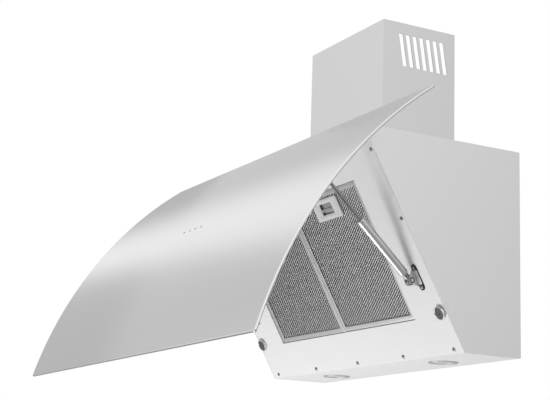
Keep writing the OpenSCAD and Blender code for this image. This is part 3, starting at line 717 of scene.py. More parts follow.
@dataclass(frozen=True)
class PackedMesh(Finish):
    """Layers of fine aluminium mesh behind the coarse net: bright strands, with painted shade in the gaps between them
    for the layers' depth.

    The real layers are too fine to show, so their cells are drawn as coarse as they need to be seen.

    Attributes:
        gap_shade_colour: The sRGB colour of the painted shade in the gaps.
        cells: Cells in a metre along each axis: each is about 1.9 mm by 1.3 mm.
    """

    gap_shade_colour: str = "#3A3A3A"
    cells: tuple[float, float, float] = (520.0, 760.0, 760.0)

    def base(self, tree: bpy.types.NodeTree, uneven: bpy.types.NodeSocket) -> dict[str | int, object]:
        """Adds the painted shade in the layers' gaps.

        Args:
            tree: The material's tree.
            uneven: The unevenness.

        Returns:
            Inputs of the surface shader.
        """
        where = add_node(tree, "ShaderNodeTexCoord").outputs["Object"]
        sized = add_node(tree, "ShaderNodeMapping", {"Vector": where, "Scale": self.cells})
        grid = {"Vector": sized.outputs[0], "Scale": 1.0}
        edges = add_node(tree, "ShaderNodeTexVoronoi", grid, {"feature": "DISTANCE_TO_EDGE"})
        # The gaps between the strands get painted shade, for the depth seen through the layers.
        strand = add_node(tree, "ShaderNodeMapRange", {"Value": edges.outputs[0], 1: 0.1, 2: 0.3, 3: 1.0, 4: 0.0})
        tones = {0: strand.outputs[0], 6: hex_rgb(self.gap_shade_colour), 7: hex_rgb(self.colour)}
        return {"Base Color": add_node(tree, "ShaderNodeMix", tones, {"data_type": "RGBA"}).outputs[2]}


# Brushed stainless steel: a quiet pale grey, with its highlights drawn out across the grain.
PANEL_STEEL = BrushedSteel(
    "brushed_steel_across", "#C8C8C8", 0.13, grain_size=0.35, unevenness=0.02, bump=0.0, anisotropy=1.0
)
# The same steel on the side sheets, brushed front to back.
SIDE_STEEL = BrushedSteel(
    "brushed_steel_side",
    "#D9D9D9",
    0.4,
    grain_size=0.35,
    unevenness=0.04,
    bump=0.001,
    grain=Grain.ALONG_Y,
    anisotropy=0.5,
)
# The same steel on the chimney, brushed upwards, so that its front glows evenly.
CHIMNEY_STEEL = BrushedSteel(
    "brushed_steel_upward",
    "#C8C8C8",
    0.34,
    grain_size=0.35,
    unevenness=0.04,
    bump=0.001,
    grain=Grain.ALONG_Z,
    anisotropy=0.5,
)
# White satin powder coat: the slanted face reads almost white, with a soft sheen.
WHITE_COAT = Coating("satin_white_coat", "#E9E9E9", 0.42, unevenness=0.03)
# Zinc-plated sheet behind and inside: plain mid grey.
ZINC_SHEET = Finish("zinc_plated_sheet", "#B4B6B8", 0.38, grain_size=3.0, unevenness=0.08)
# Anodised aluminium of the filter frames: a flat satin grey.
ANODISED = Finish("anodised_aluminium", "#D9D9D9", 0.42, grain_size=0.5, unevenness=0.05)
# Expanded aluminium strands: a darker grey than the frames, with small glints on their cut edges.
STRANDS = Finish("expanded_aluminium", "#A6A6A6", 0.42, grain_size=0.4, unevenness=0.08)
# Packed aluminium mesh behind the net: dark grey, broken by many small gaps of painted shade.
PACK = PackedMesh("packed_aluminium_mesh", "#6E6E6E", 0.5, grain_size=0.8, unevenness=0.1)
# Silver-grey lacquer of the latch plates: lighter and softer than the frames round them.
LATCH_LACQUER = Coating("latch_lacquer", "#D6D6D6", 0.35, unevenness=0.03, bump=0.005)
# Satin nickel of the latches' grips: a soft pale shine.
SATIN_NICKEL = Finish("satin_nickel", "#D2D2D2", 0.33, grain_size=0.5, unevenness=0.03)
# Silver lacquer of the struts' tubes: mid grey with one long white highlight.
SILVER_LACQUER = Finish("silver_lacquer", "#BEBEBD", 0.34, metallic=0.8, grain_size=0.4, unevenness=0.03, bump=0.002)
# Dark chrome of the struts' rods: a thin dark line with a sharp shine.
DARK_CHROME = Finish("dark_chrome", "#7A7B7E", 0.16, metallic=0.9, grain_size=0.3, unevenness=0.03, bump=0.002)
# Black zinc of motor, brackets and pins: almost black with a dull shine.
BLACK_ZINC = Finish("black_zinc", "#3A3B3D", 0.4, metallic=0.8, grain_size=0.8, unevenness=0.08)
# Bright zinc plate of the struts' feet, posts and pins: light grey with a soft shine.
BRIGHT_ZINC = Finish("bright_zinc", "#CFD0D1", 0.42, metallic=0.7, grain_size=0.8, unevenness=0.06)
# Bright nickel plate of the cups round the magnets: a sharp, pale rim.
CUP_NICKEL = Finish("bright_nickel", "#C8C8C8", 0.2, grain_size=0.6, unevenness=0.04, bump=0.003)
# Ferrite magnet: matt dark grey, slightly rough.
FERRITE = Coating("ferrite", "#4C4D50", 0.6, grain_size=0.5, unevenness=0.1, bump=0.05)
# Plain steel of the screws and the struts' end fittings: mid grey, and darker in a screw's cross.
SCREW_STEEL = Finish("screw_steel", "#8A8B8D", 0.3, grain_size=0.4, unevenness=0.05)
# Black moulded nylon with a fine sparkle of the tool's texture.
MOULDING = Coating("black_nylon", "#2E2F31", 0.5, grain_size=0.7, unevenness=0.06, bump=0.04)
# Pale grey printed ink of the touch marks.
INK = Coating("grey_ink", "#C2C2C2", 0.5, unevenness=0.03)
# Satin steel of the lamps' trim rings: a pale, soft ring.
LAMP_TRIM = Finish("lamp_trim_steel", "#D2D2D2", 0.34, grain_size=0.4, unevenness=0.04)
# Frosted glass of the lamps' lenses, unlit: an even pale disc.
LENS = FrostedGlass("frosted_lens", "#C9C9C7", 0.4, unevenness=0.03)

CAD_FINISHES: dict[Finish, tuple[str, ...]] = {
    SIDE_STEEL: ("left_side_panel", "right_side_panel"),
    CHIMNEY_STEEL: ("chimney_cover",),
    PANEL_STEEL: ("panel_rail",),
    WHITE_COAT: ("face_panel", "bottom_panel"),
    ZINC_SHEET: (
        "back_panel", "top_panel", "chimney_bracket", "outlet_collar", "blower_scroll", "inlet_rings", "motor_mount",
        "control_box_lid", "hinge_bracket_left", "hinge_bracket_right", "hinge_arm_left", "hinge_arm_right",
    ),
    BRIGHT_ZINC: ("damper_pin", "hinge_pins", "motor_shaft", "keeper_posts"),
    BLACK_ZINC: ("motor",),
    MOULDING: (
        "impeller", "control_box", "cable_gland", "touch_board_box", "lamp_cans", "damper_flap_front",
        "damper_flap_rear",
    ),
    INK: ("touch_marks",),
}


def dress_cad(names: Sequence[str], finish: Finish) -> None:
    """Gives CAD nodes that stay shown their finish.

    Args:
        names: The nodes' names.
        finish: Their finish.
    """
    for name in names:
        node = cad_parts[name]
        node.data.materials.clear()
        node.data.materials.append(finish.material())
        node.data.polygons.foreach_set("material_index", [0] * len(node.data.polygons))
        LOG.info("%s keeps its CAD mesh, in %s", name, finish.name)


def new_tree(name: str, inputs: dict[str, str]) -> tuple[bpy.types.NodeTree, bpy.types.Node]:
    """Starts a Geometry Nodes tree.

    Args:
        name: The tree's name.
        inputs: Socket kinds by input name.

    Returns:
        The tree and its input node.
    """
    tree = bpy.data.node_groups.new(name, "GeometryNodeTree")
    for label, kind in {"Base": "Geometry", **inputs, "Finish": "Material"}.items():
        tree.interface.new_socket(label, in_out="INPUT", socket_type="NodeSocket" + kind)
    tree.interface.new_socket("Made", in_out="OUTPUT", socket_type="NodeSocketGeometry")
    return tree, add_node(tree, "NodeGroupInput")


def end_tree(tree: bpy.types.NodeTree, start: bpy.types.Node, made: bpy.types.NodeSocket) -> None:
    """Ends a Geometry Nodes tree with real geometry that has its finish.

    Args:
        tree: The tree.
        start: Its input node.
        made: The geometry so far.
    """
    real = add_node(tree, "GeometryNodeRealizeInstances", {"Geometry": made})
    look = {"Geometry": real.outputs[0], "Material": start.outputs["Finish"]}
    dressed = add_node(tree, "GeometryNodeSetMaterial", look)
    add_node(tree, "NodeGroupOutput", {0: dressed.outputs[0]})


def grow(made: bpy.types.Object, tree: bpy.types.NodeTree, values: dict[str, object]) -> bpy.types.Object:
    """Runs a Geometry Nodes tree on an object and keeps the result as its mesh.

    Args:
        made: The object.
        tree: The tree.
        values: Input values by name.

    Returns:
        The same object, with a plain mesh.
    """
    step = made.modifiers.new(tree.name, "NODES")
    step.node_group = tree
    for item in tree.interface.items_tree:
        if item.item_type == "SOCKET" and item.in_out == "INPUT" and item.name in values:
            step[item.identifier] = values[item.name]
    return settle(made)


def piece_on_points_tree() -> bpy.types.NodeTree:
    """Makes the tree that sets one piece on every point, turned to the point's axis and twist.

    Returns:
        The tree.
    """
    tree, start = new_tree("piece_on_points", {"Piece": "Object"})
    piece = add_node(tree, "GeometryNodeObjectInfo", {"Object": start.outputs["Piece"]})
    axis = add_node(tree, "GeometryNodeInputNamedAttribute", {"Name": "axis"}, {"data_type": "FLOAT_VECTOR"})
    twist = add_node(tree, "GeometryNodeInputNamedAttribute", {"Name": "twist"}, {"data_type": "FLOAT"})
    lean = add_node(tree, "FunctionNodeAlignRotationToVector", {"Vector": axis.outputs[0]}, {"axis": "Z"})
    spin = add_node(tree, "FunctionNodeAxisAngleToRotation", {"Axis": (0, 0, 1), "Angle": twist.outputs[0]})
    both = {"Rotation": lean.outputs[0], "Rotate By": spin.outputs[0]}
    turn = add_node(tree, "FunctionNodeRotateRotation", both, {"rotation_space": "LOCAL"})
    spots = {"Points": start.outputs["Base"], "Instance": piece.outputs["Geometry"], "Rotation": turn.outputs[0]}
    placed = add_node(tree, "GeometryNodeInstanceOnPoints", spots)
    end_tree(tree, start, placed.outputs[0])
    return tree


def net_tree() -> bpy.types.NodeTree:
    """Makes the tree that fills a rectangle with two staggered sets of rings, and leaves a pocket out.

    Returns:
        The tree.
    """
    sizes = ("Width", "Height", "Pitch x", "Pitch y", "Pocket width", "Pocket height", "Pocket up")
    tree, start = new_tree("staggered_net", {"Ring": "Object", **{name: "Float" for name in sizes}})
    give = start.outputs
    both = tree.nodes.new("GeometryNodeJoinGeometry")
    for shift in (0.0, 1.0):
        counts = []
        for size, pitch in (("Width", "Pitch x"), ("Height", "Pitch y")):
            whole = add_node(tree, "ShaderNodeMath", {0: give[size], 1: give[pitch]}, {"operation": "DIVIDE"})
            fewer = add_node(tree, "ShaderNodeMath", {0: whole.outputs[0], 1: shift}, {"operation": "SUBTRACT"})
            count = add_node(tree, "ShaderNodeMath", {0: fewer.outputs[0]}, {"operation": "FLOOR"})
            span = add_node(tree, "ShaderNodeMath", {0: count.outputs[0], 1: give[pitch]}, {"operation": "MULTIPLY"})
            points = add_node(tree, "ShaderNodeMath", {0: count.outputs[0], 1: 1.0}, {"operation": "ADD"})
            counts += [span.outputs[0], points.outputs[0]]
        names = ("Size X", "Vertices X", "Size Y", "Vertices Y")
        grid = add_node(tree, "GeometryNodeMeshGrid", dict(zip(names, counts)))
        tree.links.new(grid.outputs[0], both.inputs[0])
    spot = add_node(tree, "GeometryNodeInputPosition")
    apart = add_node(tree, "ShaderNodeSeparateXYZ", {0: spot.outputs[0]}).outputs
    up = add_node(tree, "ShaderNodeMath", {0: apart[1], 1: give["Pocket up"]}, {"operation": "SUBTRACT"})
    near = []
    for offset, size in ((apart[0], "Pocket width"), (up.outputs[0], "Pocket height")):
        away = add_node(tree, "ShaderNodeMath", {0: offset}, {"operation": "ABSOLUTE"})
        half = add_node(tree, "ShaderNodeMath", {0: give[size], 1: 0.5}, {"operation": "MULTIPLY"})
        inside = {0: away.outputs[0], 1: half.outputs[0]}
        near.append(add_node(tree, "ShaderNodeMath", inside, {"operation": "LESS_THAN"}).outputs[0])
    pocket = add_node(tree, "ShaderNodeMath", dict(enumerate(near)), {"operation": "MULTIPLY"})
    left_out = {"Geometry": both.outputs[0], "Selection": pocket.outputs[0]}
    kept = add_node(tree, "GeometryNodeDeleteGeometry", left_out, {"domain": "POINT"})
    ring = add_node(tree, "GeometryNodeObjectInfo", {"Object": give["Ring"]})
    spots = {"Points": kept.outputs[0], "Instance": ring.outputs["Geometry"]}
    placed = add_node(tree, "GeometryNodeInstanceOnPoints", spots)
    end_tree(tree, start, placed.outputs[0])
    return tree


def bend_tree() -> bpy.types.NodeTree:
    """Makes the tree that rolls a flat sheet round an axis along x.

    Returns:
        The tree.
    """
    sizes = ("Radius", "Start angle", "Centre y", "Centre z")
    tree, start = new_tree("rolled_sheet", {name: "Float" for name in sizes})
    give = start.outputs
    spot = add_node(tree, "GeometryNodeInputPosition")
    flat = add_node(tree, "ShaderNodeSeparateXYZ", {0: spot.outputs[0]}).outputs
    turn = add_node(tree, "ShaderNodeMath", {0: flat[1], 1: give["Radius"]}, {"operation": "DIVIDE"})
    angle = add_node(tree, "ShaderNodeMath", {0: give["Start angle"], 1: turn.outputs[0]}, {"operation": "SUBTRACT"})
    reach = add_node(tree, "ShaderNodeMath", {0: give["Radius"], 1: flat[2]}, {"operation": "ADD"})
    rolled = {0: flat[0]}
    for axis, wave, centre in ((1, "COSINE", "Centre y"), (2, "SINE", "Centre z")):
        share = add_node(tree, "ShaderNodeMath", {0: angle.outputs[0]}, {"operation": wave})
        out = add_node(tree, "ShaderNodeMath", {0: reach.outputs[0], 1: share.outputs[0]}, {"operation": "MULTIPLY"})
        place_on = add_node(tree, "ShaderNodeMath", {0: give[centre], 1: out.outputs[0]}, {"operation": "ADD"})
        rolled[axis] = place_on.outputs[0]
    position = add_node(tree, "ShaderNodeCombineXYZ", rolled)
    bent = add_node(tree, "GeometryNodeSetPosition", {"Geometry": give["Base"], "Position": position.outputs[0]})
    end_tree(tree, start, bent.outputs[0])
    return tree


def to_part(made: bpy.types.Object, at: Matrix | None = None) -> bpy.types.Object:
    """Brings a mesh built in millimetres in a local frame into the part's frame, in metres.

    Args:
        made: The object, whose mesh is in millimetres.
        at: The local frame's place.

    Returns:
        The same object.
    """
    made.data.transform(Matrix.Scale(MM, 4) @ (at or Matrix()))
    made.data.polygons.foreach_set("use_smooth", [True] * len(made.data.polygons))
    made.data.set_sharp_from_angle(angle=math.radians(SMOOTH_ANGLE))
    return made


def local_object(shape: Shape, name: str) -> bpy.types.Object:
    """Makes an object of a shape that keeps millimetres and its local frame.

    Args:
        shape: The shape.
        name: The object's name.

    Returns:
        The object.
    """
    made = shape.object(name)
    made.data.transform(Matrix.Scale(1 / MM, 4))
    return made


# Local frames for plates that stand on edge: the shape's own z becomes x, or changes place with y.
EDGE_ON_FACE = Matrix(((0, 0, 1, 0), (1, 0, 0, 0), (0, 1, 0, 0), (0, 0, 0, 1)))
EDGE_ON_PANEL = Matrix(((0, 0, 1, 0), (0, 1, 0, 0), (1, 0, 0, 0), (0, 0, 0, 1)))
FLAT_ON_PANEL = Matrix(((1, 0, 0, 0), (0, 0, 1, 0), (0, 1, 0, 0), (0, 0, 0, 1)))
ALONG_X = Matrix.Rotation(math.pi / 2, 4, "Y")


def mirror(side: Side) -> Matrix:
    """Keeps the right side as it is and mirrors it for the left."""
    return Matrix.Diagonal((side.value, 1, 1, 1))


@dataclass(frozen=True)
class CurvedPanel:
    """The tilting sheet, rolled by Geometry Nodes, with a hem folded behind its four edges.

    Attributes:
        sizes: The CAD's sizes.
        corner: The sheet's corner radius.
        hem_width: How wide the hem is.
        hem_depth: How deep the hem's edge stands behind the outer face.
        edge: The rounding of the outer edge.
        roll_steps: Pieces along the curve.
    """

    sizes: HoodSizes
    corner: float = 3.5
    hem_width: float = 10.0
    hem_depth: float = 4.0
    edge: float = 1.6
    roll_steps: int = 72

    def flat(self) -> Shape:
        """The sheet before it is rolled: outer face up, its top edge at y zero and its foot below that.

        Returns:
            The flat sheet.
        """
        width, length = self.sizes.panel_width, self.sizes.panel_arc

        def outline(inset: float) -> list[Point2]:
            """The sheet's outline at an inset."""
            points = rounded(width - 2 * inset, length - 2 * inset, self.corner - inset, side_steps=self.roll_steps)
            return [(x, y - length / 2) for x, y in points]

        corners = [
            (self.hem_width + 2, -self.sizes.sheet),
            (self.hem_width, -self.sizes.sheet),
            (self.hem_width, -self.hem_depth),
            (0, -self.hem_depth),
            (0, 0),
            (3 * self.edge, 0),
        ]
        return Shape().around(outline, fillet(corners, self.edge, closed=False, steps=4), ends=Ends.CAPPED)

    def build(self, tree: bpy.types.NodeTree) -> bpy.types.Object:
        """Rolls the sheet and puts it on the swinging body.

        Args:
            tree: The rolling tree.

        Returns:
            The panel's skin.
        """
        made = local_object(self.flat(), "panel_skin")
        values = {
            "Radius": self.sizes.panel_radius,
            "Start angle": math.radians(self.sizes.panel_top_angle),
            "Centre y": self.sizes.panel_centre_y,
            "Centre z": self.sizes.panel_centre_z,
            "Finish": PANEL_STEEL.material(),
        }
        to_part(grow(made, tree, values))
        return place(made, "panel", "brushed_panel", ["curved_panel"])


@dataclass(frozen=True)
class GreaseFilter:
    """One grease filter: channel frame, coarse net, packed layers, latch cover and its grip.

    Depths are heights out of the slanted face, so they are negative behind it.

    Attributes:
        sizes: The CAD's sizes.
        side: Which filter.
        middle: Its middle line's distance from the hood's middle.
        width: Its width.
        foot: Its foot's distance up the face.
        height: Its height.
        back: Its back's depth.
        front: Its front's depth.
        border: How wide the frame's lips are.
        wall: The frame's sheet.
        spread: How much wider the frame is toward the hood's middle, so that the two frames meet as one bar.
        pin_up: The tilting pins' distance up the face.
        pin_in: Their depth.
        pin_reach: How far they stand out.
        pin_r: Their radius.
        latch_up: The latch's distance up the face.
        latch_size: The latch cover's width and height.
        latch_front: Its front's depth.
        latch_foot: Its foot's depth.
        latch_wall: Its wall.
        window_size: Its window's width and height.
        window_up: How far the window lies above the cover's middle.
        way_width: Width of the slider's way.
        way_depths: The way's lowest and highest depth where it passes a wall.
        pitch: The net's pitch along and across. The real net is too fine to show, so this one is coarser.
        strand: The net's strand width.
        net_depths: The net's back, shoulder and crest.
        under_lip: How far the net runs under the frame's lips.
        pack_depths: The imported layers' back and front.
    """

    sizes: HoodSizes
    side: Side
    middle: float = 111.75
    width: float = 220.9
    foot: float = 68.8
    height: float = 252.4
    back: float = -10.5
    front: float = -1.5
    border: float = 8.5
    wall: float = 1.5
    spread: float = 0.8
    pin_up: float = 71.5
    pin_in: float = -3.2
    pin_reach: float = 0.8
    pin_r: float = 1.5
    latch_up: float = 290.0
    latch_size: Point2 = (78.0, 38.0)
    latch_front: float = -0.7
    latch_foot: float = -9.0
    latch_wall: float = 1.2
    window_size: Point2 = (36.0, 20.0)
    window_up: float = 0.5
    way_width: float = 24.6
    way_depths: Point2 = (-7.0, -4.4)
    pitch: Point2 = (8.2, 4.9)
    strand: float = 1.0
    net_depths: tuple[float, float, float] = (-4.35, -3.5, -3.2)
    under_lip: float = 3.0
    pack_depths: Point2 = (-8.8, -4.4)

    @property
    def body(self) -> str:
        """The filter's body."""
        return "filter_" + self.side.word

    def at(self, up: float, out: float = 0.0) -> Matrix:
        """The place on the filter's middle line."""
        return mirror(self.side) @ self.sizes.on_face(self.middle, up, out)

    def slider_slot(self, up: float) -> tuple[Shape, Matrix]:
        """The way that the slider takes through a wall, and its place."""
        return Shape().slab(self.way_width, 6, 0.2, *self.way_depths, 0.1), self.at(up)

    def rim(self) -> bpy.types.Object:
        """Builds the channel frame with its two short pins.

        Returns:
            The frame.
        """
        inner_front, inner_back = self.front - self.wall, self.back + self.wall
        corners = [(0, self.back), (0, self.front), (self.border, self.front), (self.border, inner_front)]
        corners += [(self.wall, inner_front), (self.wall, inner_back)]
        corners += [(self.border, inner_back), (self.border, self.back)]
        middle = self.at(self.foot + self.height / 2) @ Matrix.Translation((-self.spread / 2, 0, 0))
        wide = self.width + self.spread
        shape = Shape().around(lambda d: rounded(wide - 2 * d, self.height - 2 * d, 2.0 - d), fillet(corners, 0.6))
        made = cut(shape.object("filter_rim_" + self.side.word, middle), *self.slider_slot(self.foot + self.height - 1))
        pins, length = Shape(), self.pin_reach + self.wall
        pin = fillet([(POLE, 0), (self.pin_r, 0), (self.pin_r, length), (POLE, length)], 0.2, closed=False)
        for x in (-self.width / 2 - self.pin_reach, self.width / 2 - self.wall):
            pins.turned(pin, Matrix.Translation((x, 0, 0)) @ ALONG_X, steps=20)
        join(made, pins.mesh("pins", self.at(self.pin_up, self.pin_in)))
        return place(made, self.body, "aluminium_frame", ["filter_frame_" + self.side.word], ANODISED)

    def net(self, tree: bpy.types.NodeTree) -> bpy.types.Object:
        """Builds the coarse net of staggered diamond rings.

        Args:
            tree: The net's tree.

        Returns:
            The net.
        """
        long, short = self.pitch
        inner = 1 - 2 * self.strand / short

        def diamond(share: float) -> list[Vector]:
            """One diamond's corners.

            Args:
                share: Their size, as a share of the full size.

            Returns:
                The corners.
            """
            spots = ((0.08, -0.46), (0.5, -0.06), (0.5, 0.06), (0.08, 0.46))
            right = [Vector((x * long * share, y * short * share, 0)) for x, y in spots]
            return right + [Vector((-v.x, v.y, 0)) for v in reversed(right)]

        back, shoulder, crest = self.net_depths
        # The rings reach a little past their cells, so that they fuse into one net.
        profile = ((1.04, back), (1.04, shoulder), (inner + 0.18, crest), (inner, shoulder), (inner, back))
        rings = [[v + Vector((0, 0, height)) for v in diamond(share)] for share, height in profile]
        ring = local_object(Shape().loft(rings, Ends.WRAPPED), "ring")
        made = bpy.data.objects.new("filter_net_" + self.side.word, bpy.data.meshes.new("net"))
        bpy.context.scene.collection.objects.link(made)
        opening = (self.width - 2 * self.border, self.height - 2 * self.border)
        values = {
            "Ring": ring,
            "Width": opening[0] + 2 * self.under_lip,
            "Height": opening[1] + 2 * self.under_lip,
            "Pitch x": long,
            "Pitch y": short,
            "Pocket width": self.latch_size[0],
            "Pocket height": self.latch_size[1],
            "Pocket up": self.latch_up - self.foot - self.height / 2,
            "Finish": STRANDS.material(),
        }
        to_part(grow(made, tree, values), self.at(self.foot + self.height / 2))
        bpy.data.objects.remove(ring)
        turn_outward(made.data)
        return place(made, self.body, "aluminium_mesh", ["filter_mesh_" + self.side.word])

    def pack(self) -> bpy.types.Object:
        """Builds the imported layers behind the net, with the latch's pocket and the slider's way left out.

        Returns:
            The layers.
        """
        inset, gap = self.wall + 0.2, 0.6
        slab = Shape().slab(self.width - 2 * inset, self.height - 2 * inset, 1.0, *self.pack_depths, 0.3)
        made = slab.object("filter_pack_" + self.side.word, self.at(self.foot + self.height / 2))
        through = (-12, 0)
        pocket = Shape().slab(self.latch_size[0] + gap, self.latch_size[1] + gap, 0.5, *through, 0.1)
        cut(made, pocket, self.at(self.latch_up))
        way = Shape().slab(self.way_width, 34, 0.2, *through, 0.1)
        cut(made, way, self.at(self.latch_up + 31))
        return place(made, self.body, "aluminium_mesh", ["filter_mesh_" + self.side.word], PACK)

    def latch_cover(self) -> bpy.types.Object:
        """Builds the hollow latch cover with its window.

        Returns:
            The cover.
        """
        front, foot, wall = self.latch_front, self.latch_foot, self.latch_wall
        wide, high = self.latch_size
        in_wide, in_high = wide - 2 * wall, high - 2 * wall

        def ring(width: float, height: float, corner: float, z: float, up: float = 0.0) -> list[Vector]:
            """A rounded rectangle at a height."""
            return [Vector((x, y + up, z)) for x, y in rounded(width, height, corner)]

        rings = [ring(wide, high, 3.0, foot), ring(wide, high, 3.0, front - 0.8)]
        rings += [ring(wide - 0.5, high - 0.5, 2.8, front - 0.25), ring(wide - 1.6, high - 1.6, 2.4, front)]
        window = ((1.2, 2.2, front), (0.3, 1.8, front - 0.3), (0.0, 1.6, front - 0.7), (0.0, 1.6, front - wall))
        win_w, win_h = self.window_size
        rings += [ring(win_w + more, win_h + more, corner, z, self.window_up) for more, corner, z in window]
        rings += [ring(in_wide, in_high, 1.8, front - wall), ring(in_wide, in_high, 1.8, foot)]
        shape = Shape().loft(rings, Ends.WRAPPED)
        # The floor, and a block at each side of the slider.
        shape.slab(in_wide - 0.4, in_high - 0.4, 1.6, foot, foot + 2.1, 0.1)
        for x in (-25, 25):
            shape.slab(25.2, in_high - 0.4, 0.8, foot + 2, -4.2, 0.2, Matrix.Translation((x, 0, 0)))
        made = shape.object("latch_cover_" + self.side.word, self.at(self.latch_up))
        cut(made, *self.slider_slot(self.latch_up + high / 2))
        return place(made, self.body, "latch_metal", ["latch_plate_" + self.side.word], LATCH_LACQUER)

    def grip(self) -> bpy.types.Object:
        """Builds the latch's slider with its grip.

        Returns:
            The slider.
        """
        shape = Shape().slab(24, 35.1, 1.0, -6.7, -4.7, 0.3, Matrix.Translation((0, 13.35, 0)))
        grip_at = Matrix.Translation((0, -1.45, 0))
        shape.slab(23.6, 5.5, 0.8, -4.8, -3.8, 0.1, grip_at)
        shape.slab(34, 5.5, 1.2, -3.9, self.latch_front, 0.9, grip_at)
        word = self.side.word
        made = shape.object("latch_grip_" + word, self.at(self.latch_up))
        return place(made, "latch_" + word, "aluminium_frame", ["latch_slider_" + word], SATIN_NICKEL)

    def build(self, tree: bpy.types.NodeTree) -> None:
        """Builds the filter's pieces.

        Args:
            tree: The net's tree.
        """
        self.rim()
        self.net(tree)
        self.pack()
        self.latch_cover()
        self.grip()


def join(made: bpy.types.Object, extra: bpy.types.Mesh) -> bpy.types.Object:
    """Adds a mesh to an object's own mesh.

    Args:
        made: The object.
        extra: The mesh that is added, and then removed.

    Returns:
        The same object.
    """
    both = bmesh.new()
    both.from_mesh(made.data)
    both.from_mesh(extra)
    both.to_mesh(made.data)
    both.free()
    bpy.data.meshes.remove(extra)
    made.data.set_sharp_from_angle(angle=math.radians(SMOOTH_ANGLE))
    return made


def arc(radius: float, start: float, end: float, centre: Point2 = (0, 0), steps: int = 12) -> list[Point2]:
    """Points along an arc, with its angles in degrees.

    Args:
        radius: The arc's radius.
        start: Its first angle.
        end: Its last angle.
        centre: Its centre.
        steps: Pieces along it.

    Returns:
        The arc's points.
    """
    angles = [math.radians(start + (end - start) * i / steps) for i in range(steps + 1)]
    return [(centre[0] + radius * math.cos(a), centre[1] + radius * math.sin(a)) for a in angles]


